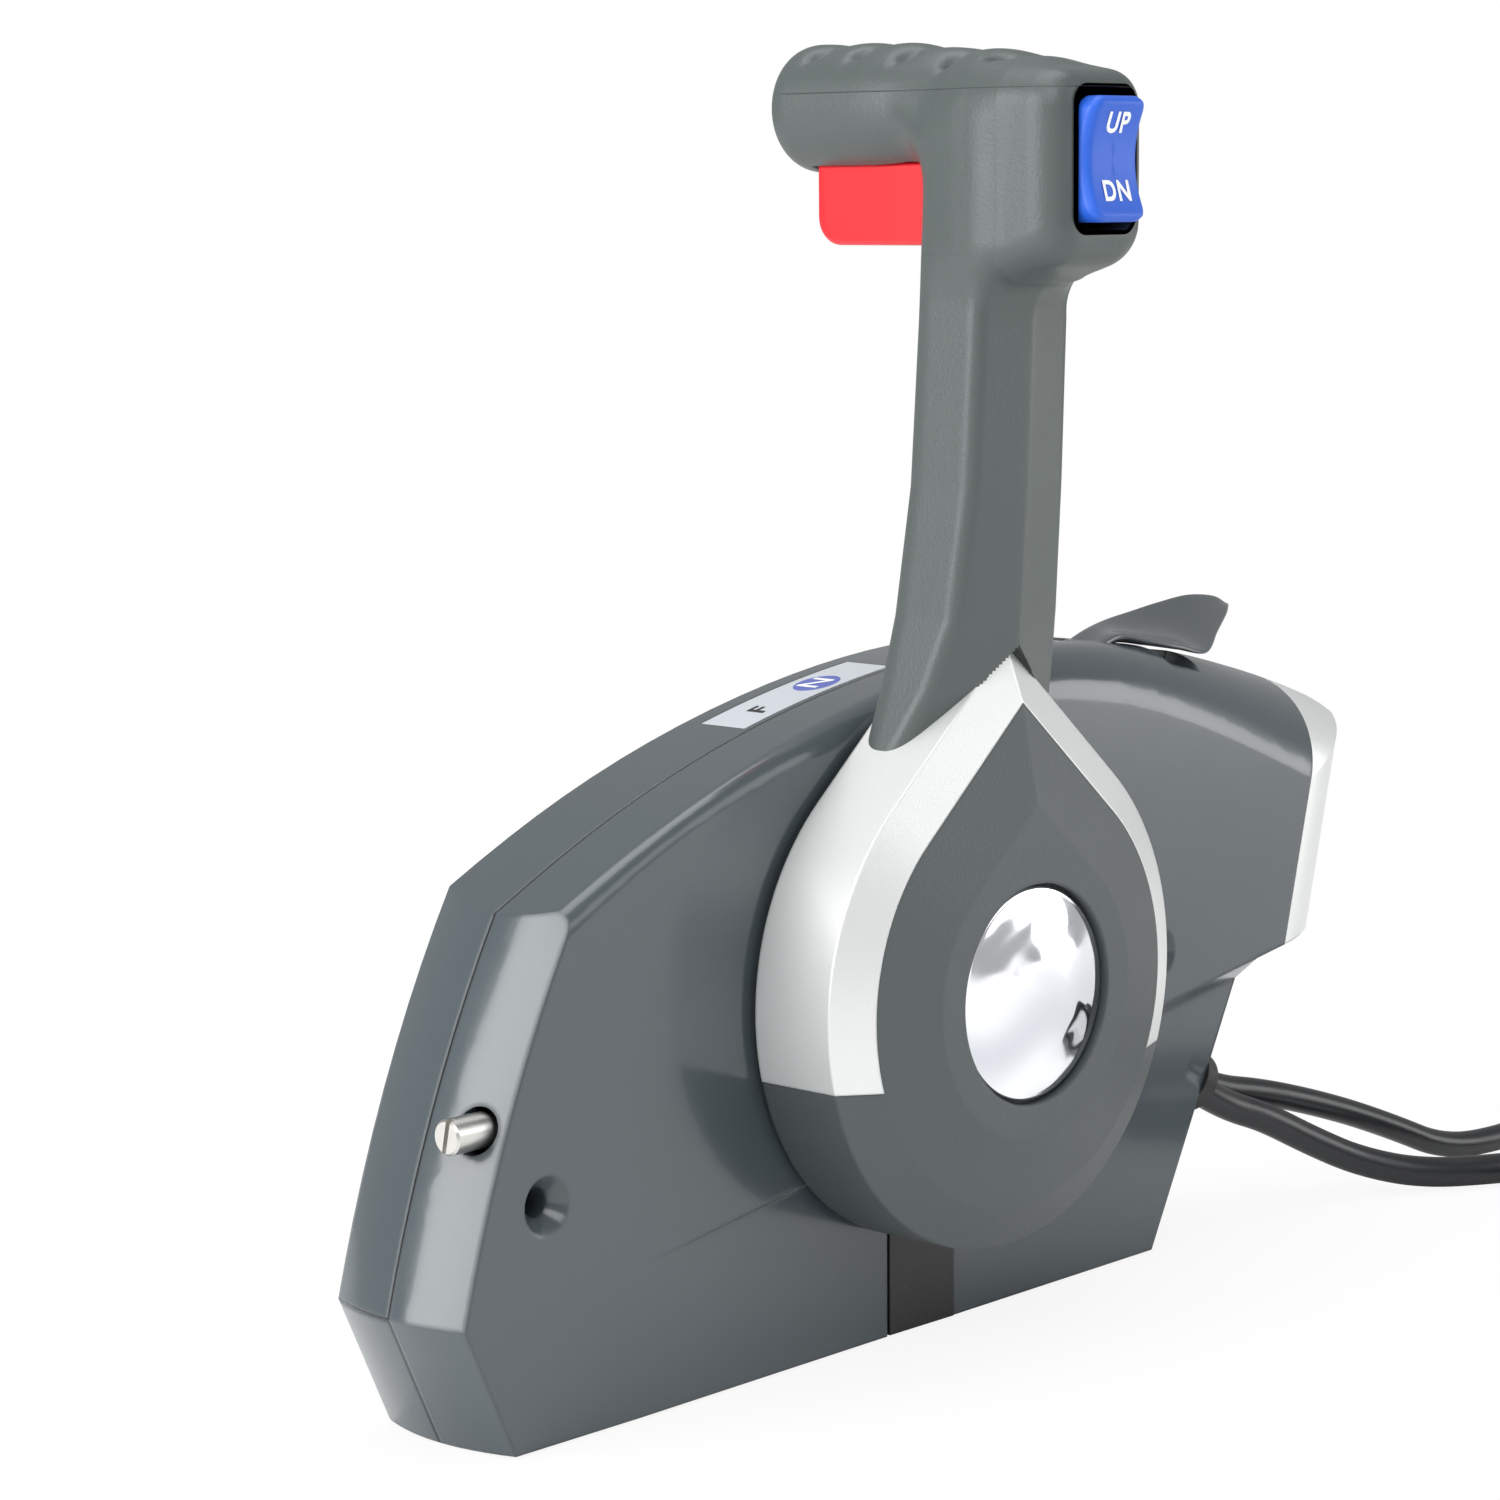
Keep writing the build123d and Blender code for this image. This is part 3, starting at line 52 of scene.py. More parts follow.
# heights above the pivot, then depths
ROCKER_UP = 187.0
GRIP_UP = 199.4
NECK_UP = 166.0
POD_FACE = -27.9
GRIP_END = 60.9
# lines in the part's own frame, metres
HALVES_DEPTH = 0.028
COVER_TOP = 0.030
COVER_REACH = -0.1184
MOULD_LINE_UP = 0.2866
MOULD_LINE_END = 0.040
LINE_EDGE = 0.00006


def place(points):
    """Pivot millimetres to metres in the part's frame."""
    return (np.asarray(points, float) + PIVOT) / MM


# ------------------------------------------------------------------ camera
def add_camera():
    """Camera fitted to the object's edges: place, heading, tip and roll."""
    yaw, tip, roll = 0.8130275, 0.1366801, 0.0078808
    ahead = Vector((sin(yaw) * cos(tip), cos(yaw) * cos(tip), -sin(tip)))
    right = Vector((cos(yaw), -sin(yaw), 0.0))
    down = ahead.cross(right)
    right, down = cos(roll) * right + sin(roll) * down, cos(roll) * down - sin(roll) * right
    data = bpy.data.cameras.new("camera")
    data.sensor_width = 36.0
    data.lens = 97.205
    data.clip_start = 0.05
    camera = bpy.data.objects.new("camera", data)
    bpy.context.scene.collection.objects.link(camera)
    turn = Matrix((right, -down, -ahead)).transposed().to_4x4()
    camera.matrix_world = Matrix.Translation(place((-699.026, -581.697, 180.343))) @ turn
    bpy.context.scene.camera = camera


add_camera()


# ------------------------------------------------------------------ shader maths
class Tree:
    """A node material under construction."""

    def __init__(self, name):
        self.material = bpy.data.materials.new(name)
        self.material.use_nodes = True
        self.nodes = self.material.node_tree.nodes
        self.links = self.material.node_tree.links
        self.shader = self.nodes["Principled BSDF"]
        self.coords = Sock(self, self.make("TexCoord").outputs["Object"])

    def make(self, kind, settings=None, inputs=None):
        """Any node, by type, with its settings and inputs."""
        node = self.nodes.new("ShaderNode" + kind)
        for key, value in (settings or {}).items():
            setattr(node, key, value)
        for key, value in (inputs or {}).items():
            self.feed(node.inputs[key], value)
        return node

    def feed(self, socket, value):
        """Link a socket's value, or set a plain one."""
        if isinstance(value, Sock):
            self.links.new(value.socket, socket)
        else:
            socket.default_value = value

    def noise(self, scale, detail=3.0, rough=0.55):
        """Cloudy value from 0 to 1 over the object's own coordinates."""
        inputs = {"Vector": self.coords, "Scale": scale, "Detail": detail, "Roughness": rough}
        return Sock(self, self.make("TexNoise", None, inputs).outputs["Fac"])

    def axis(self, index):
        """One object coordinate, in metres."""
        return Sock(self, self.make("SeparateXYZ", None, {0: self.coords}).outputs[index])

    def mix(self, factor, first, second):
        """Colour between two colours."""
        node = self.make("Mix", {"data_type": "RGBA"}, {"Factor": factor})
        self.feed(node.inputs[6], first)
        self.feed(node.inputs[7], second)
        return Sock(self, node.outputs[2])

    def bump(self, height, strength, distance):
        """Normal from a height, distance in metres."""
        node = self.make("Bump", None, {"Height": height, "Strength": strength, "Distance": distance})
        return Sock(self, node.outputs[0])

    def set(self, **values):
        """Values of the shader's own sockets, by name."""
        for key, value in values.items():
            self.feed(self.shader.inputs[key.replace("_", " ").title()], value)


class Sock:
    """A socket that takes part in arithmetic."""

    def __init__(self, tree, socket):
        self.tree = tree
        self.socket = socket

    def math(self, kind, other=0.0):
        """Math node on this socket and another value."""
        node = self.tree.make("Math", {"operation": kind}, {0: self, 1: other})
        return Sock(self.tree, node.outputs[0])

    def __add__(self, other):
        return self.math("ADD", other)

    def __sub__(self, other):
        return self.math("SUBTRACT", other)

    def __mul__(self, other):
        return self.math("MULTIPLY", other)

    __radd__ = __add__
    __rmul__ = __mul__

    def __rsub__(self, other):
        return (self * -1.0) + other

    def below(self, edge, soft):
        """1 under the edge, 0 over it, changing across soft."""
        node = self.tree.make("MapRange", None, {0: self, 1: edge - soft, 2: edge + soft, 3: 1.0, 4: 0.0})
        return Sock(self.tree, node.outputs[0])


def seam_lines(tree):
    """Joint between the box's halves at one depth, and the end cover's top edge behind it."""
    depth = tree.axis(1)
    halves = (depth - HALVES_DEPTH).math("ABSOLUTE").below(0.00018, LINE_EDGE)
    top = (tree.axis(2) - COVER_TOP).math("ABSOLUTE").below(0.00020, LINE_EDGE)
    behind = (depth * -1.0).below(-HALVES_DEPTH, 0.0001)
    fore = tree.axis(0).below(COVER_REACH, 0.0002)
    return (top * behind * fore).math("MAXIMUM", halves)


def mould_line(tree):
    """Thin parting line along the grip's side, fading toward the grip's end."""
    level = (tree.axis(2) - MOULD_LINE_UP).math("ABSOLUTE").below(0.00009, LINE_EDGE)
    return level * tree.axis(1).below(MOULD_LINE_END, 0.004)


def surface(name, color, rough, metal=0.0, grain=0.0, grain_scale=900.0, coat=0.0, spread=0.06, soft=0.0,
            seams=False, mould=False):
    """Procedural finish: cloudy colour, uneven roughness, fine grain, softened edges of soft millimetres."""
    tree = Tree(name)
    clouds = tree.noise(14.0, 4.0)
    fine = tree.noise(grain_scale, 2.0)
    low = [c * (1.0 - spread) for c in color] + [1.0]
    high = [min(c * (1.0 + spread), 1.0) for c in color] + [1.0]
    shade = tree.mix(clouds, low, high)
    smudge = tree.noise(38.0, 5.0, 0.65)
    height = fine * grain + clouds * 0.05
    if seams:
        line = seam_lines(tree)
        shade = tree.mix(line, shade, [0.006, 0.007, 0.008, 1.0])
        height = height - line * 0.8
    if mould:
        line = mould_line(tree)
        shade = tree.mix(line * 0.5, shade, [0.02, 0.024, 0.023, 1.0])
        height = height + line * 0.4
    tree.set(base_color=shade, metallic=metal, coat_weight=coat, coat_roughness=0.08)
    tree.set(roughness=(smudge - 0.5) * 0.12 + rough)
    bump = tree.bump(height, 1.0, 0.0004)
    if soft:
        edge = tree.make("Bevel", {"samples": 6}, {"Radius": soft / MM})
        tree.feed(bump.socket.node.inputs["Normal"], Sock(tree, edge.outputs[0]))
    tree.set(normal=bump)
    return tree


paint = surface("housing_finish", (0.060, 0.075, 0.083), 0.20, grain=0.05, grain_scale=1500.0, coat=0.35,
                soft=1.8, seams=True)
silver = surface("silver_finish", (0.74, 0.755, 0.745), 0.34, metal=0.45, grain=0.12, grain_scale=2600.0,
                 spread=0.03, soft=0.9)
hub_grey = surface("hub_finish", (0.066, 0.078, 0.080), 0.46, grain=0.28, grain_scale=1500.0, soft=1.2)
grip_grey = surface("handle_finish", (0.072, 0.087, 0.084), 0.40, grain=0.22, grain_scale=1300.0, mould=True)
black = surface("black_finish", (0.012, 0.012, 0.014), 0.42, grain=0.15, soft=0.5)
gloss_black = surface("idle_finish", (0.070, 0.080, 0.084), 0.18, grain=0.03, coat=0.3)
rubber = surface("rubber_finish", (0.012, 0.012, 0.013), 0.5, grain=0.3, soft=0.6)
sheath = surface("sheath_finish", (0.011, 0.012, 0.014), 0.33, grain=0.10, grain_scale=420.0)
plate_pale = surface("gear_plate_finish", (0.62, 0.66, 0.70), 0.30, metal=0.2, spread=0.03)
mark_blue = surface("gear_mark_finish", (0.10, 0.13, 0.42), 0.5, spread=0.02)
zinc = surface("zinc_finish", (0.62, 0.61, 0.58), 0.30, metal=1.0, grain=0.08)
alloy = surface("alloy_finish", (0.55, 0.55, 0.56), 0.45, metal=1.0, grain=0.25)
nylon = surface("nylon_finish", (0.78, 0.77, 0.71), 0.45)
brass = surface("brass_finish", (0.72, 0.53, 0.22), 0.32, metal=1.0)
red = surface("red_finish", (0.72, 0.010, 0.018), 0.32, coat=0.2, spread=0.04)
blue = surface("blue_finish", (0.012, 0.100, 0.58), 0.46, grain=0.06, spread=0.04)
white_ink = surface("letter_finish", (0.86, 0.87, 0.88), 0.5, spread=0.02)


def emblem_finish():
    """Bright foil under a clear dome, gently rippled."""
    tree = Tree("emblem_finish")
    bands = {"Vector": tree.coords, "Scale": 9.0, "Distortion": 9.0, "Detail": 2.0, "Detail Scale": 1.3}
    waves = tree.make("TexWave", {"wave_type": "BANDS", "bands_direction": "Z"}, bands)
    ripple = Sock(tree, waves.outputs["Fac"])
    tree.set(base_color=tree.mix(ripple, [0.62, 0.64, 0.68, 1.0], [0.93, 0.94, 0.96, 1.0]))
    tree.set(metallic=1.0, roughness=ripple * 0.06 + 0.05, coat_weight=1.0, coat_roughness=0.02)
    tree.set(normal=tree.bump(ripple + tree.noise(60.0, 2.0) * 0.6, 0.35, 0.0012))
    return tree


emblem_tree = emblem_finish()

FINISH = {
    "housing_paint": paint, "silver_paint": silver, "hub_plastic": hub_grey, "handle_plastic": grip_grey,
    "black_plastic": black, "indicator_black": black, "black_rubber": rubber, "lead_sheath": sheath,
    "zinc_steel": zinc, "cast_aluminium": alloy, "white_nylon": nylon, "brass_nut": brass,
    "emblem_chrome": emblem_tree, "red_plastic": red, "blue_plastic": blue,
}
for part in frame["record"]["subparts"]:
    node = frame["nodes"][part["node"]]
    for spot in node.material_slots:
        spot.material = FINISH[part["material_slot"]].material


# ------------------------------------------------------------------ the two leads
def spline(name, points, radius, tree):
    """Smooth cord through its route's points, given in pivot millimetres."""
    curve = bpy.data.curves.new(name, "CURVE")
    curve.dimensions = "3D"
    curve.bevel_depth = radius / MM
    curve.bevel_resolution = 8
    curve.resolution_u = 16
    curve.use_fill_caps = True
    line = curve.splines.new("NURBS")
    line.points.add(len(points) - 1)
    for knot, at in zip(line.points, place(points)):
        knot.co = (*at, 1.0)
    line.order_u = 3
    line.use_endpoint_u = True
    curve.materials.append(tree.material)
    obj = bpy.data.objects.new(name, curve)
    bpy.context.scene.collection.objects.link(obj)
    return obj


def coil_turns(centre, outer, inner, height, start, turns, per_turn=14):
    """Points round a flat coil, clockwise: outer turn, an easy step in, then the inner turn."""
    step = np.arange(int(turns * per_turn) + 1) / per_turn
    ease = np.clip((step - 0.70) / 0.32, 0.0, 1.0)
    reach = outer + (inner - outer) * ease * ease * (3 - 2 * ease)
    angle = radians(start) - 2 * pi * step
    along = centre[0] + reach * np.cos(angle)
    across = centre[1] + reach * np.sin(angle)
    return np.stack([along, across, np.full_like(along, height)], axis=-1).tolist()


def arc_in(middle, radius, height):
    """Points of the last half turn, clockwise from below its middle to its connector's line above."""
    angle = np.radians(np.linspace(-100.0, -270.0, 9))
    along = middle[0] + radius * np.cos(angle)
    across = middle[1] + radius * np.sin(angle)
    return np.stack([along, across, np.full_like(along, height)], axis=-1).tolist()


def base(route):
    """Route points given by their height above the base."""
    return [(along, depth, up - PIVOT[2]) for along, depth, up in route]


TRIM_RADIUS = 3.5
HARNESS_RADIUS = 4.0
trim_floor = TRIM_RADIUS - PIVOT[2]
harness_floor = HARNESS_RADIUS - PIVOT[2]

trim_route = [(118.6, 39.3, -44.4), (129.5, 39.3, -50.4)]
trim_route += base([(150.0, 36.8, 29.4), (175.0, 32.5, 21.7), (197.0, 29.0, 13.2), (219.0, 25.5, 3.5)])
trim_route += base([(246.0, 21.0, 3.5), (270.3, 28.1, 3.5), (283.0, 34.0, 3.5)])
trim_route += coil_turns((307.0, 5.5), 39.6, 32.2, trim_floor, 108.0, 1.50)
trim_route += arc_in((296.0, -3.9), 21.4, trim_floor)
harness_route = [(116.7, 32.8, -47.9), (127.5, 32.8, -53.8)]
harness_route += base([(140.0, 29.6, 25.6), (157.0, 26.6, 16.6), (173.0, 22.2, 8.8), (189.0, 13.5, 4.0)])
harness_route += base([(206.0, 1.5, 4.0), (227.0, -7.2, 4.0), (239.0, -10.0, 4.0)])
harness_route += coil_turns((234.0, -52.3), 44.2, 35.8, harness_floor, 64.0, 1.38)
harness_route += arc_in((221.0, -64.0), 23.7, harness_floor)
trim_cord = spline("trim_cord", trim_route, TRIM_RADIUS, sheath)
harness_cord = spline("harness_cord", harness_route, HARNESS_RADIUS, sheath)
trim_gone = ("trim_lead", "trim_lead_coil")
harness_gone = ("harness_lead", "harness_lead_coil")
for cord_piece, gone, length, route, radius, plug in (
    (trim_cord, trim_gone, 0.600, trim_route, TRIM_RADIUS, "trim_connector"),
    (harness_cord, harness_gone, 0.590, harness_route, HARNESS_RADIUS, "harness_connector"),
):
    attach(cord_piece, "housing")
    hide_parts(*gone)
    tuple(place(route[0]))
    2 * radius / MM


# ------------------------------------------------------------------ surfaces on a grid
def skin(name, grid, tree, close=(False, False), sharp=35.0, normals=None):
    """Quads over a grid of points (rows, columns, xyz), in pivot millimetres.

    Columns run round the piece; close adds a fan from the first or last row to its middle.
    """
    rows, cols = grid.shape[:2]
    left = np.arange(rows * cols).reshape(rows, cols)
    right = np.roll(left, -1, axis=1)
    quads = np.stack([left[:-1], right[:-1], right[1:], left[1:]], axis=-1).reshape(-1, 4)
    points = place(grid.reshape(-1, 3))
    fans = []
    for end, row in ((0, 0), (1, rows - 1)):
        if close[end]:
            hub = len(points)
            points = np.vstack([points, points[left[row]].mean(axis=0)])
            ring = np.stack([left[row], right[row], np.full(left[row].shape, hub)], axis=-1)
            fans.append(ring[:, ::-1] if end == 0 else ring)
    faces = quads.tolist() + [tri for fan in fans for tri in fan.tolist()]
    mesh = bpy.data.meshes.new(name)
    mesh.from_pydata(points.tolist(), [], faces)
    mesh.polygons.foreach_set("use_smooth", np.ones(len(faces), dtype=bool))
    if normals is None:
        mesh.set_sharp_from_angle(angle=radians(sharp))
    else:
        spare = len(points) - rows * cols
        aim = np.vstack([normals.reshape(-1, 3), np.tile(normals.reshape(-1, 3)[-1], (spare, 1))])
        mesh.normals_split_custom_set_from_vertices(aim.tolist())
    mesh.materials.append(tree.material)
    obj = bpy.data.objects.new(name, mesh)
    bpy.context.scene.collection.objects.link(obj)
    return obj


def declare(obj, body, slot, *nodes):
    """Body the piece rides on, and the nodes that it stands for; slot is not used."""
    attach(obj, body)
    if nodes:
        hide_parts(*nodes)


def smooth_min(a, b, k):
    """Union of two distance fields with a fillet of about k."""
    h = np.clip(0.5 + 0.5 * (b - a) / k, 0.0, 1.0)
    return b + (a - b) * h - k * h * (1.0 - h)


def smooth_max(a, b, k):
    """Shared inside of two distance fields, its edge rounded by about k."""
    return -smooth_min(-a, -b, k)


def round_box(x, z, half_x, half_z, r):
    """Distance to a rectangle with corners of radius r."""
    qx = np.abs(x) - half_x + r
    qz = np.abs(z) - half_z + r
    return np.hypot(np.maximum(qx, 0), np.maximum(qz, 0)) + np.minimum(np.maximum(qx, qz), 0) - r


def outline_reach(theta, half_x, half_z, corner):
    """Reach from a rounded rectangle's middle to its outline, by angle from straight up."""
    low, high = np.zeros_like(theta), np.full_like(theta, 40.0)
    for _ in range(24):
        mid = (low + high) / 2
        out = round_box(np.sin(theta) * mid, np.cos(theta) * mid, half_x, half_z, corner) > 0
        high = np.where(out, mid, high)
        low = np.where(out, low, mid)
    return low


def outermost(field, centre, aim, reach, steps=70):
    """Distance from centre along aim to the last place where the field turns negative."""
    far = np.linspace(reach, 0.0, steps)
    probe = centre[..., None, :] + aim[..., None, :] * far[:, None]
    inside = field(probe) < 0
    first = np.where(inside.any(axis=-1), inside.argmax(axis=-1), steps - 1)
    low = far[first]
    high = far[np.maximum(first - 1, 0)]
    for _ in range(12):
        mid = (low + high) / 2
        dips = field(centre + aim * mid[..., None]) < 0
        low = np.where(dips, mid, low)
        high = np.where(dips, high, mid)
    return low


def outward(field, points, step=0.15):
    """Unit slope of the field, by central differences."""
    slope = np.zeros_like(points)
    for axis in range(3):
        move = np.zeros(3)
        move[axis] = step
        slope[..., axis] = field(points + move) - field(points - move)
    return slope / np.maximum(np.linalg.norm(slope, axis=-1, keepdims=True), 1e-9)


# ------------------------------------------------------------------ handle
# arm by height: half width, depth of the front ridge, of the side corners and of the back
ARM_Z = [56.0, 70.0, 86.0, 115.0, 152.0, 178.0]
ARM_HALF = [26.5, 22.0, 18.5, 16.6, 16.0, 15.6]
ARM_RIDGE = [-2.0, -3.3, -4.4, -6.4, -8.0, -8.0]
ARM_CORNER = [10.0, 4.0, -0.4, -3.6, -5.4, -5.6]
ARM_BACK = [22.0, 21.2, 20.0, 17.0, 15.0, 14.0]
# depths of the finger grooves' pits
DIMPLES = [-4.0, 9.5, 23.0, 36.5, 49.5]


def handle_field(p):
    """Arm, grip and rocker pod blended: negative inside.

    arm: half widths and depths linear in height, two front facets |x| lean, rounded sides;
    grip: distance from its axis less a radius that thins toward the operator, rounded end;
    pod: rounded rectangle that changes with depth; crown: five slanting grooves, each ending in a pit.
    """
    x, y, z = p[..., 0], p[..., 1], p[..., 2]
    half = np.interp(z, ARM_Z, ARM_HALF)
    ridge = np.interp(z, ARM_Z, ARM_RIDGE)
    corner = np.interp(z, ARM_Z, ARM_CORNER)
    back = np.interp(z, ARM_Z, ARM_BACK)
    lean = (corner - ridge) / half
    soft_x = np.sqrt(x * x + 0.6) - 0.35
    front = (ridge + lean * soft_x - y) / np.sqrt(1 + lean**2)
    side = np.abs(x) - half - 0.2
    arm = smooth_max(smooth_max(front, side, 3.4), y - back, 7.0)
    arm = smooth_max(arm, z - 196.0, 6.0)
    thin = np.clip((34.0 - y) / 40.0, 0.0, 1.4)
    radius = 14.6 - 5.0 * thin**1.6
    grip = np.hypot(x, z - GRIP_UP) - radius
    grip = smooth_max(grip, y - GRIP_END, 7.0)
    grip = smooth_max(grip, -14.0 - y, 4.0)
    half_x = np.interp(y, [-28.0, -20.0, -12.0, 4.0], [15.4, 17.0, 17.6, 15.6])
    low = np.interp(y, [-28.0, -12.0, 4.0], [165.6, 160.8, 161.8])
    high = np.interp(y, [-28.0, -12.0, 4.0], [206.4, 207.3, 208.8])
    pod = round_box(x, z - (low + high) / 2, half_x, (high - low) / 2, 8.5)
    pod = smooth_max(pod, POD_FACE - y, 7.0)
    pod = smooth_max(pod, y - 5.0, 8.0)
    whole = smooth_min(arm, grip, 10.0)
    whole = smooth_min(whole, pod, 9.0)
    slot = np.maximum(np.abs(x) - 5.9, np.maximum(y - 52.4, z - 193.4))
    slot = np.maximum(slot, 6.2 - y)
    slot = np.maximum(slot, np.where(y < 13.6, 180.6 - z, 160.0 - z))
    whole = smooth_max(whole, -slot, 0.8)
    for start in DIMPLES:
        across = ((y - start) + 0.55 * (x + 7.0)) / 1.14
        along = ((x + 7.0) - 0.55 * (y - start)) / 1.14
        groove = 0.95 * np.exp(-((across / 3.3) ** 2) - ((along - 5.5) / 7.5) ** 4)
        pit = 1.5 * np.exp(-((across / 1.6) ** 2) - (along / 2.9) ** 2)
        whole = whole + np.where(z > 200.0, groove + pit, 0.0)
    return whole


# rocker's opening: half width, half height, corner
HOLE = (9.9, 15.2, 3.4)
# the opening's edge from its depth inside to the pod's face: depth, growth, how far it faces forward
RIM = ((-4.6, -0.2, 0.0), (-22.0, 0.0, 0.0), (-26.9, 0.1, 0.2), (-27.7, 0.5, 0.75), (POD_FACE, 1.1, 1.0))


def handle_head():
    """Pod and grip: rays in upright cross planes from a spine that climbs from pod to grip."""
    theta = np.linspace(0, 2 * pi, 300, endpoint=False)
    edge = POD_FACE + 5.0 * (1 - np.cos(np.linspace(0.10, pi / 2, 14)))
    middle = np.linspace(-22.6, 53.0, 190)
    tail = 53.4 + 7.45 * np.sin(np.linspace(0.02, pi / 2, 18))
    depth = np.concatenate([edge, middle, tail])
    blend = np.clip((depth + 12.0) / 30.0, 0.0, 1.0)
    spine = ROCKER_UP + (GRIP_UP - ROCKER_UP) * blend * blend * (3 - 2 * blend)
    centre = np.zeros((len(depth), len(theta), 3))
    centre[..., 1] = depth[:, None]
    centre[..., 2] = spine[:, None]
    aim = np.stack([np.sin(theta), np.zeros_like(theta), np.cos(theta)], axis=-1)
    aim = np.broadcast_to(aim, centre.shape)

    def kept(p):
        return np.maximum(handle_field(p), NECK_UP - p[..., 2])

    surface_grid = centre + aim * outermost(kept, centre, aim, 48.0)[..., None]
    slope = outward(handle_field, surface_grid)
    rim = []
    rim_slope = []
    for depth_in, grow, tilt in RIM:
        reach = outline_reach(theta, *(size + grow for size in HOLE))
        along, up = np.sin(theta), np.cos(theta)
        rim.append(np.stack([along * reach, np.full_like(theta, depth_in), ROCKER_UP + up * reach], axis=-1))
        face = np.stack([-along * (1 - tilt), np.full_like(theta, -tilt), -up * (1 - tilt)], axis=-1)
        rim_slope.append(face / np.linalg.norm(face, axis=-1, keepdims=True))
    grid = np.concatenate([np.array(rim), surface_grid])
    normals = np.concatenate([np.array(rim_slope), slope])
    return skin("handle_head", grid, grip_grey, close=(True, True), normals=normals)


def handle_arm():
    """Arm up to the pod's underside: rays in level planes; inside the hub's outline it sinks behind it."""
    theta = np.linspace(0, 2 * pi, 220, endpoint=False)
    root, shank = np.linspace(56.0, 84.0, 42), np.linspace(85.0, 158.0, 74)
    height = np.concatenate([root, shank, np.linspace(158.4, 166.4, 30)])
    centre = np.zeros((len(height), len(theta), 3))
    centre[..., 1] = np.interp(height, [56.0, 86.0, 152.0], [14.0, 9.0, 4.0])[:, None]
    centre[..., 2] = height[:, None]
    aim = np.stack([np.sin(theta), -np.cos(theta), np.zeros_like(theta)], axis=-1)
    aim = np.broadcast_to(aim, centre.shape)
    grid = centre + aim * outermost(handle_field, centre, aim, 50.0)[..., None]
    slope = outward(handle_field, grid)
    inset = (79.5 - grid[..., 2]) * 0.7547 - np.abs(grid[..., 0]) * 0.656
    sunk = (inset > 0.7) & (grid[..., 1] < 21.0)
    grid[..., 1] = np.where(sunk, np.maximum(grid[..., 1], 3.0), grid[..., 1])
    return skin("handle_arm", grid, grip_grey, close=(True, True), normals=slope)


head_piece = handle_head()
declare(head_piece, "lever", "handle_plastic", "handle_shell")
arm_piece = handle_arm()
declare(arm_piece, "lever", "handle_plastic", "handle_shell")


# ------------------------------------------------------------------ emblem
def emblem_dome():
    """Clear dome: circle of reach r turned round its axis, rise 3.75 (1 - (r / 23.7)^2), faintly rippled."""
    theta = np.linspace(0, 2 * pi, 180, endpoint=False)
    fillet = np.linspace(0, pi / 2, 7)
    reach = np.concatenate([[24.0, 24.6, 24.6], 23.7 + 0.9 * np.cos(fillet), np.linspace(23.2, 0.4, 52)])
    depth = np.concatenate([[-6.0, -6.1, -7.3], -7.3 - 0.9 * np.sin(fillet), np.full(52, -8.2)])
    dome = np.where(np.arange(len(reach)) > 9, 3.75 * (1 - (reach / 23.7) ** 2), 0.0)
    r, t = np.meshgrid(reach, theta, indexing="ij")
    along, up = r * np.sin(t), r * np.cos(t)
    ripple = np.sin(0.42 * along + 1.7 * np.sin(0.21 * up)) * np.cos(0.33 * up + 0.5)
    ripple = ripple * np.clip(1 - (r / 23.0) ** 4, 0, 1)
    y = (depth - dome)[:, None] + 0.16 * ripple * (dome > 0)[:, None]
    grid = np.stack([along, y, up], axis=-1)
    return skin("emblem_dome", grid[:, ::-1], emblem_tree, close=(True, True), sharp=60.0)


declare(emblem_dome(), "lever", "emblem_chrome", "emblem_disc")


# ------------------------------------------------------------------ trim rocker
def saddle(up):
    """Depth of the rocker's dished front at a height from its middle."""
    return -33.0 + 3.0 * (1 - np.minimum(np.abs(up) / 12.2, 1.0) ** 2)


def rocker_skin():
    """Rounded rectangle swept from the back to the dished front, its edge a quarter round."""
    theta = np.linspace(0, 2 * pi, 160, endpoint=False)
    fillet = np.linspace(0, pi / 2, 9)
    inset = np.concatenate([[0.0, 0.0], 2.3 * (1 - np.cos(fillet)), np.linspace(2.9, 9.0, 12)])
    rows = []
    for k, step in enumerate(inset):
        reach = outline_reach(theta, 9.2 - step, 13.6 - step, max(3.6 - step, 0.3))
        along, up = np.sin(theta) * reach, np.cos(theta) * reach
        front = saddle(up)
        if k == 0:
            y = np.full_like(along, -21.2)
        elif k == 1:
            y = front + 2.3
        else:
            y = front + 2.3 * (1 - np.sin(fillet[min(k - 2, 8)]))
        rows.append(np.stack([along, y, ROCKER_UP + up], axis=-1))
    return skin("rocker_skin", np.array(rows)[:, ::-1], blue, close=(True, True), sharp=60.0)


declare(rocker_skin(), "rocker", "blue_plastic", "trim_rocker")


def letters(name, word, height, weight, spacing, tree, lay):
    """Flat letters made a mesh, each point then carried to its place by lay, in pivot millimetres."""
    text = bpy.data.curves.new(word, "FONT")
    text.body = word
    text.size = height * 1.38
    text.offset = weight
    text.space_character = spacing
    text.resolution_u = 5
    text.align_x = "CENTER"
    text.align_y = "CENTER"
    holder = bpy.data.objects.new(word, text)
    mesh = bpy.data.meshes.new_from_object(holder)
    flat = np.zeros(len(mesh.vertices) * 3)
    mesh.vertices.foreach_get("co", flat)
    flat = flat.reshape(-1, 3)
    mesh.vertices.foreach_set("co", place(lay(flat[:, 0], flat[:, 1])).ravel())
    mesh.materials.clear()
    mesh.materials.append(tree.material)
    obj = bpy.data.objects.new(name, mesh)
    bpy.context.scene.collection.objects.link(obj)
    bpy.data.objects.remove(holder)
    return obj


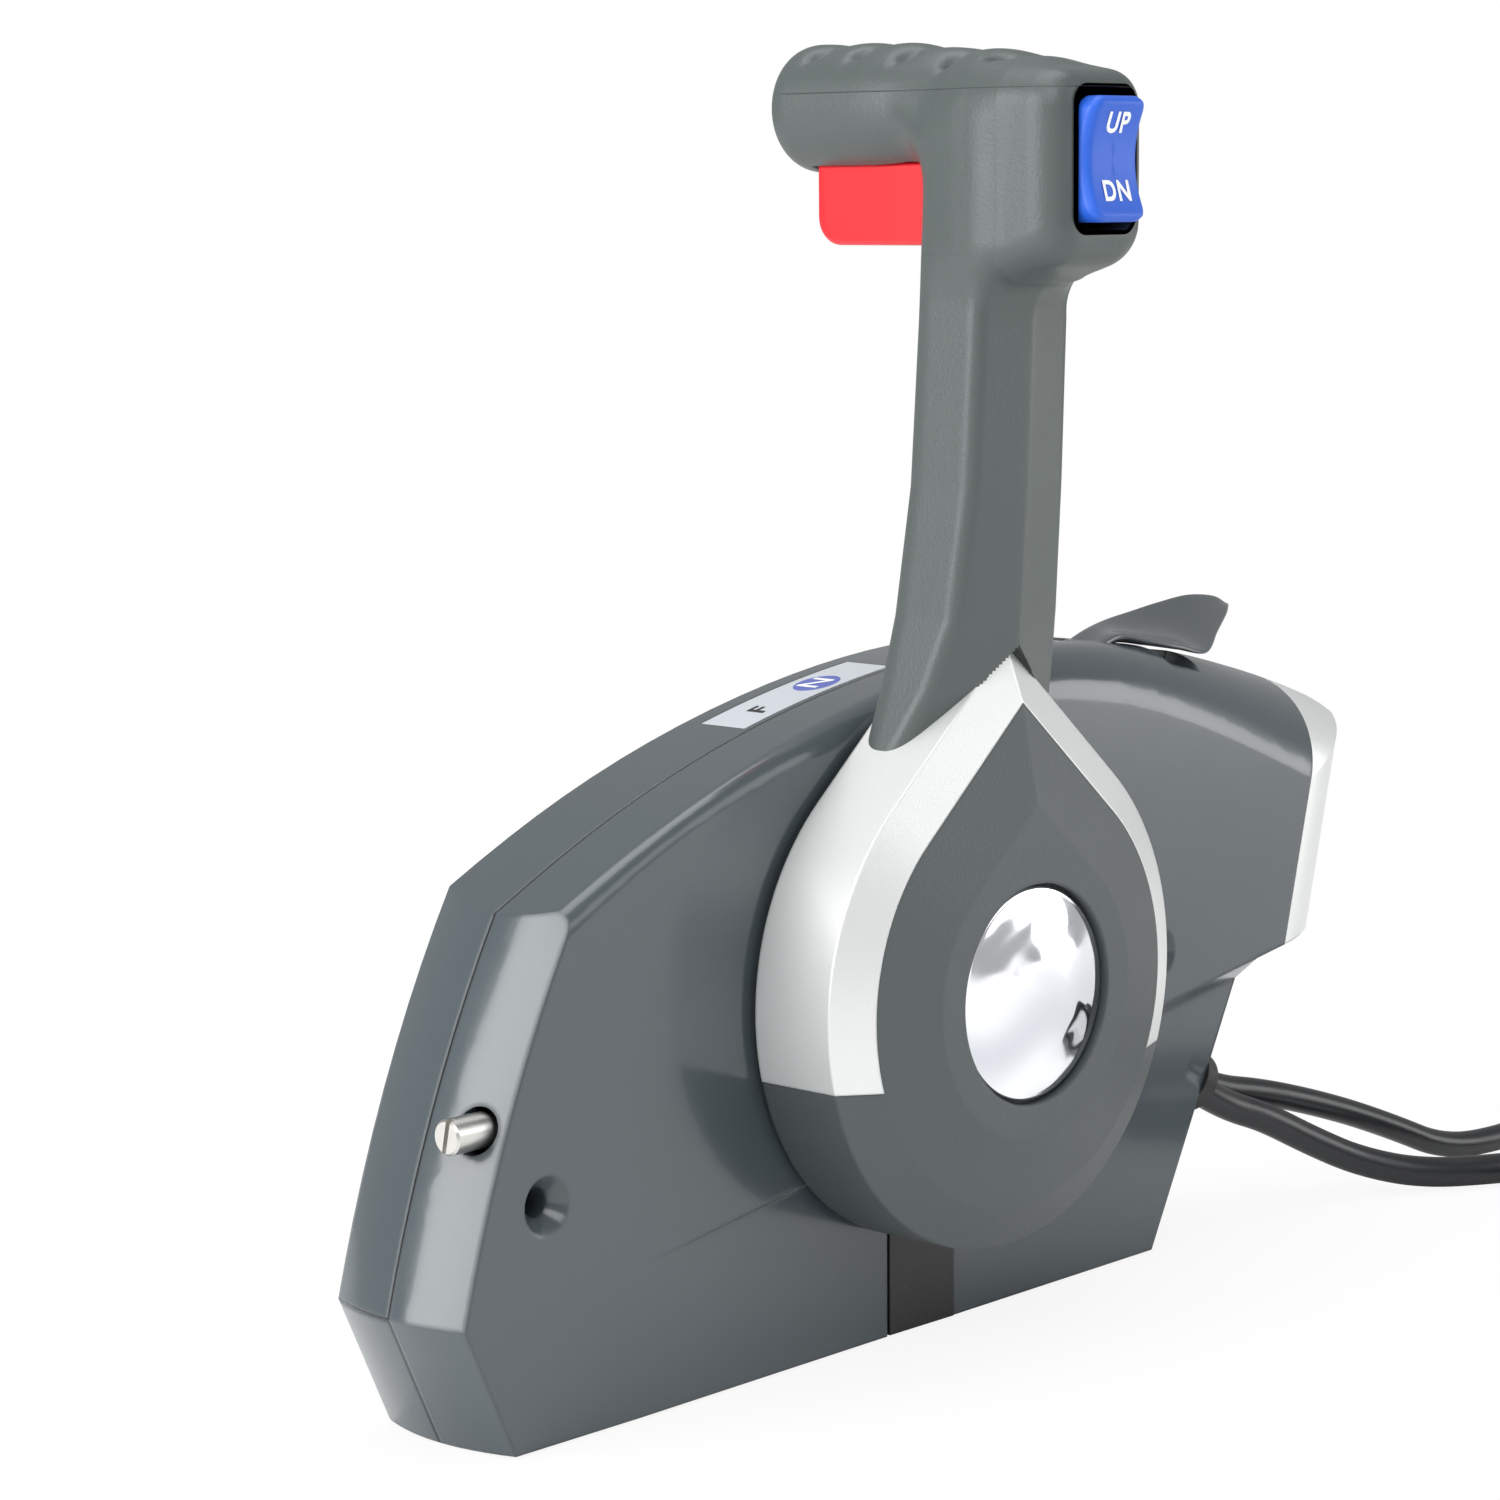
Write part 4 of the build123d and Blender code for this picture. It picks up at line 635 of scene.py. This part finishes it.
def rocker_word(word, up):
    """Moulded letters laid on the rocker's dished front, their middle up from the rocker's."""
    def lay(along, rise):
        return np.stack([along, saddle(rise + up) - 0.09, ROCKER_UP + rise + up], axis=-1)

    piece = letters("rocker_word_" + word.lower(), word, 4.4, 0.19, 1.10, white_ink, lay)
    declare(piece, "rocker", "blue_plastic")


rocker_word("UP", 7.6)
rocker_word("DN", -7.0)


# ------------------------------------------------------------------ lock bar
def slab(name, tree, sides, low, high, corners, edge):
    """Box across the lever: outline in depth and height with its own corner radii, edges rounded by edge."""
    (y0, y1), (z0, z1) = low, high
    turn = np.linspace(0, pi / 2, 9)
    rounds = []
    spots = ((y1, z1, 1, 1, 0.0), (y0, z1, -1, 1, pi / 2), (y0, z0, -1, -1, pi), (y1, z0, 1, -1, 1.5 * pi))
    for (y, z, sy, sz, start), r in zip(spots, corners):
        middle = np.array([y - sy * r, z - sz * r])
        aim = np.stack([np.cos(start + turn), np.sin(start + turn)], axis=-1)
        rounds.append((middle, aim, r, np.array([sy, sz])))
    fillet = np.linspace(0, pi / 2, 6)
    rise, fall = edge * (1 - np.sin(fillet)), edge * (1 - np.cos(fillet))
    inset = np.concatenate([[3.0], rise, fall, [3.0]])
    across = np.concatenate([[-sides], fall - sides, sides - rise, [sides]])
    rows = []
    for step, x in zip(inset, across):
        ring = [m + aim * (r - min(step, r)) - side * max(step - r, 0.0) for m, aim, r, side in rounds]
        ring = np.concatenate(ring)
        rows.append(np.stack([np.full(len(ring), x), ring[:, 0], ring[:, 1]], axis=-1))
    return skin(name, np.array(rows), tree, close=(True, True), sharp=50.0)


bar = slab("lock_bar_skin", red, 5.5, (15.2, 52.0), (168.3, 187.0), (1.2, 1.2, 1.2, 6.5), 1.1)
declare(bar, "lock", "red_plastic", "lock_bar")


# ------------------------------------------------------------------ fast idle lever
# blade from drum to tip: along, near edge's depth and height, far edge's depth and height, thickness
BLADE = np.array([
    (76.0, 37.9, 66.2, 49.1, 66.2, 3.4),
    (84.0, 37.9, 69.2, 49.1, 69.4, 3.2),
    (91.0, 37.6, 70.6, 49.3, 71.6, 2.8),
    (100.0, 35.4, 68.6, 50.6, 73.0, 2.6),
    (110.0, 34.1, 66.4, 51.0, 74.2, 2.5),
    (121.0, 34.6, 64.4, 51.0, 75.6, 2.4),
    (134.0, 41.0, 68.2, 51.0, 76.6, 2.3),
    (145.0, 46.4, 71.6, 51.0, 75.4, 2.1),
    (150.0, 49.6, 72.9, 50.8, 73.1, 1.2),
])


def idle_blade():
    """Dished blade: edges run through smooth curves, section a thin lens 1.4 mm hollow across its width."""
    s = np.linspace(0, len(BLADE) - 1, 90)
    k = np.clip(s.astype(int), 0, len(BLADE) - 2)
    u = (s - k)[:, None]
    before, a, b, after = (BLADE[np.clip(k + move, 0, len(BLADE) - 1)] for move in (-1, 0, 1, 2))
    row = 0.5 * (2 * a + (b - before) * u + (2 * before - 5 * a + 4 * b - after) * u**2
                 + (3 * a - before - 3 * b + after) * u**3)
    phi = np.linspace(0, 2 * pi, 56, endpoint=False)
    w = np.sign(np.cos(phi)) * np.abs(np.cos(phi)) ** 0.8
    h = np.sign(np.sin(phi)) * np.abs(np.sin(phi)) ** 0.75
    width = row[:, 3] - row[:, 1]
    y = (row[:, 1] + row[:, 3])[:, None] / 2 + w[None] * width[:, None] / 2
    dish = 1.4 * (width / 17.0)[:, None] * (1 - w[None] ** 2)
    z = (row[:, 2] + row[:, 4])[:, None] / 2 + w[None] * (row[:, 4] - row[:, 2])[:, None] / 2
    z = z - dish + h[None] * row[:, 5][:, None] / 2
    grid = np.stack([np.broadcast_to(row[:, 0][:, None], y.shape), y, z], axis=-1)
    return skin("idle_blade", grid, gloss_black, close=(True, True), sharp=60.0)


def idle_drum():
    """Drum the blade stands on: circle of 13 about its pin, its rims rounded."""
    theta = np.linspace(0, 2 * pi, 96, endpoint=False)
    fillet = np.linspace(0, pi / 2, 5)
    out, turned = 0.8 * np.sin(fillet), 0.8 * np.cos(fillet)
    reach = np.concatenate([[3.05, 3.05, 12.0], 12.2 + out, 12.2 + turned, [12.0, 3.05]])
    depth = np.concatenate([[49.0, 38.0, 38.0], 38.8 - turned, 48.2 + out, [49.0, 49.0]])
    r, t = np.meshgrid(reach, theta, indexing="ij")
    y = np.broadcast_to(depth[:, None], r.shape)
    grid = np.stack([82.0 + r * np.sin(t), y, 57.0 + r * np.cos(t)], axis=-1)
    return skin("idle_drum", grid, gloss_black, sharp=40.0)


declare(idle_blade(), "idle", "black_plastic", "idle_lever")
declare(idle_drum(), "idle", "black_plastic", "idle_lever")


# ------------------------------------------------------------------ gear marks
gear_plate = frame["nodes"]["gear_indicator_plate"]
for spot in gear_plate.material_slots:
    spot.material = plate_pale.material
plate_points = np.zeros(len(gear_plate.data.vertices) * 3)
gear_plate.data.vertices.foreach_get("co", plate_points)
plate_points = plate_points.reshape(-1, 3) * MM - PIVOT
# the plate's top curve: points over a rising line with a slight crown, in order along the box
plate_rise = (plate_points[:, 0] + 38.0) / 50.0
under_top = 59.0 + 9.7 * plate_rise + 4.4 * plate_rise * (1 - plate_rise)
plate_top = plate_points[plate_points[:, 2] > under_top]
plate_top = plate_top[np.argsort(plate_top[:, 0])]


def plate_height(along):
    """Height of the gear plate's top, straight between its own points."""
    return np.interp(along, plate_top[:, 0], plate_top[:, 2])


def gear_letter(letter, height, along, depth, tree):
    """Printed letter laid on the plate's curved top, foot toward the operator, a quarter widened."""
    def lay(right, up):
        x = right * 1.25 + along
        return np.stack([x, up + depth, plate_height(x) + 0.10], axis=-1)

    piece = letters("gear_letter_" + letter.lower(), letter, height, 0.12, 1.0, tree, lay)
    declare(piece, "housing", "indicator_black")


def neutral_oval(along, depth, half_x, half_y):
    """Thin oval disc on the plate: ellipse in plan, following the plate's curve, 0.35 thick."""
    theta = np.linspace(0, 2 * pi, 72, endpoint=False)
    reach = np.array([0.3, 1.0, 1.0, 0.3])[:, None]
    x = along + reach * half_x * np.cos(theta)[None]
    y = depth + reach * half_y * np.sin(theta)[None]
    over = np.array([-0.30, -0.30, 0.05, 0.05])[:, None]
    z = plate_height(x) + over
    return skin("neutral_oval", np.stack([x, y, z], axis=-1), mark_blue, close=(True, True))


gear_letter("F", 5.2, -27.0, 51.0, black)
declare(neutral_oval(-6.5, 52.0, 6.3, 4.9), "housing", "indicator_black")
gear_letter("N", 6.2, -6.5, 52.0, white_ink)


# ------------------------------------------------------------------ light and floor
def lamp(name, at, aim, width, height, power):
    """Plain soft lamp, in metres."""
    data = bpy.data.lights.new(name, "AREA")
    data.shape = "RECTANGLE"
    data.size, data.size_y = width, height
    data.energy = power
    obj = bpy.data.objects.new(name, data)
    obj.location = at
    obj.rotation_euler = (Vector(aim) - Vector(at)).to_track_quat("-Z", "Y").to_euler()
    bpy.context.scene.collection.objects.link(obj)


lamp("key_lamp", (-1.3, -0.9, 1.5), (0, 0, 0.12), 1.1, 1.1, 15.0)
lamp("side_lamp", (-1.5, 0.45, 0.65), (0, 0, 0.1), 0.9, 1.2, 21.0)
lamp("fill_lamp", (0.9, -1.5, 0.9), (0, 0, 0.12), 1.2, 1.0, 6.0)
lamp("low_lamp", (1.15, -0.85, 0.25), (0.05, 0, 0.1), 0.5, 0.7, 4.0)
lamp("top_lamp", (0.0, 0.2, 1.7), (0, 0, 0.1), 1.4, 1.0, 12.0)


def add_world():
    """White for the camera, softer grey for light and reflections."""
    world = bpy.data.worlds.new("studio")
    world.use_nodes = True
    tree = world.node_tree
    back = tree.nodes["Background"]
    path = tree.nodes.new("ShaderNodeLightPath")
    pick = tree.nodes.new("ShaderNodeMix")
    pick.data_type = "RGBA"
    pick.inputs[6].default_value = (0.42, 0.425, 0.43, 1.0)
    pick.inputs[7].default_value = (1.0, 1.0, 1.0, 1.0)
    tree.links.new(path.outputs["Is Camera Ray"], pick.inputs["Factor"])
    tree.links.new(pick.outputs[2], back.inputs["Color"])
    back.inputs["Strength"].default_value = 1.0
    bpy.context.scene.world = world


add_world()
floor_tree = Tree("floor_white")
floor_tree.set(base_color=[0.93, 0.93, 0.93, 1.0], roughness=0.8)
glow = floor_tree.make("Emission", None, {"Color": [1.0, 1.0, 1.0, 1.0], "Strength": 1.0})
seen = Sock(floor_tree, floor_tree.make("LightPath").outputs["Is Camera Ray"])
distance = floor_tree.make("VectorMath", {"operation": "LENGTH"}, {0: floor_tree.coords})
away = Sock(floor_tree, distance.outputs["Value"])
blend = floor_tree.make("MixShader", None, {0: seen * (1.0 - away.below(0.30, 0.22) * 0.12)})
floor_tree.links.new(floor_tree.shader.outputs[0], blend.inputs[1])
floor_tree.links.new(glow.outputs[0], blend.inputs[2])
floor_tree.links.new(blend.outputs[0], floor_tree.nodes["Material Output"].inputs["Surface"])
bpy.ops.mesh.primitive_plane_add(size=14.0, location=(0.0, 0.0, -0.0006))
floor = bpy.context.object
floor.name = "floor"
floor.data.materials.append(floor_tree.material)
bpy.context.scene.view_settings.view_transform = "Standard"
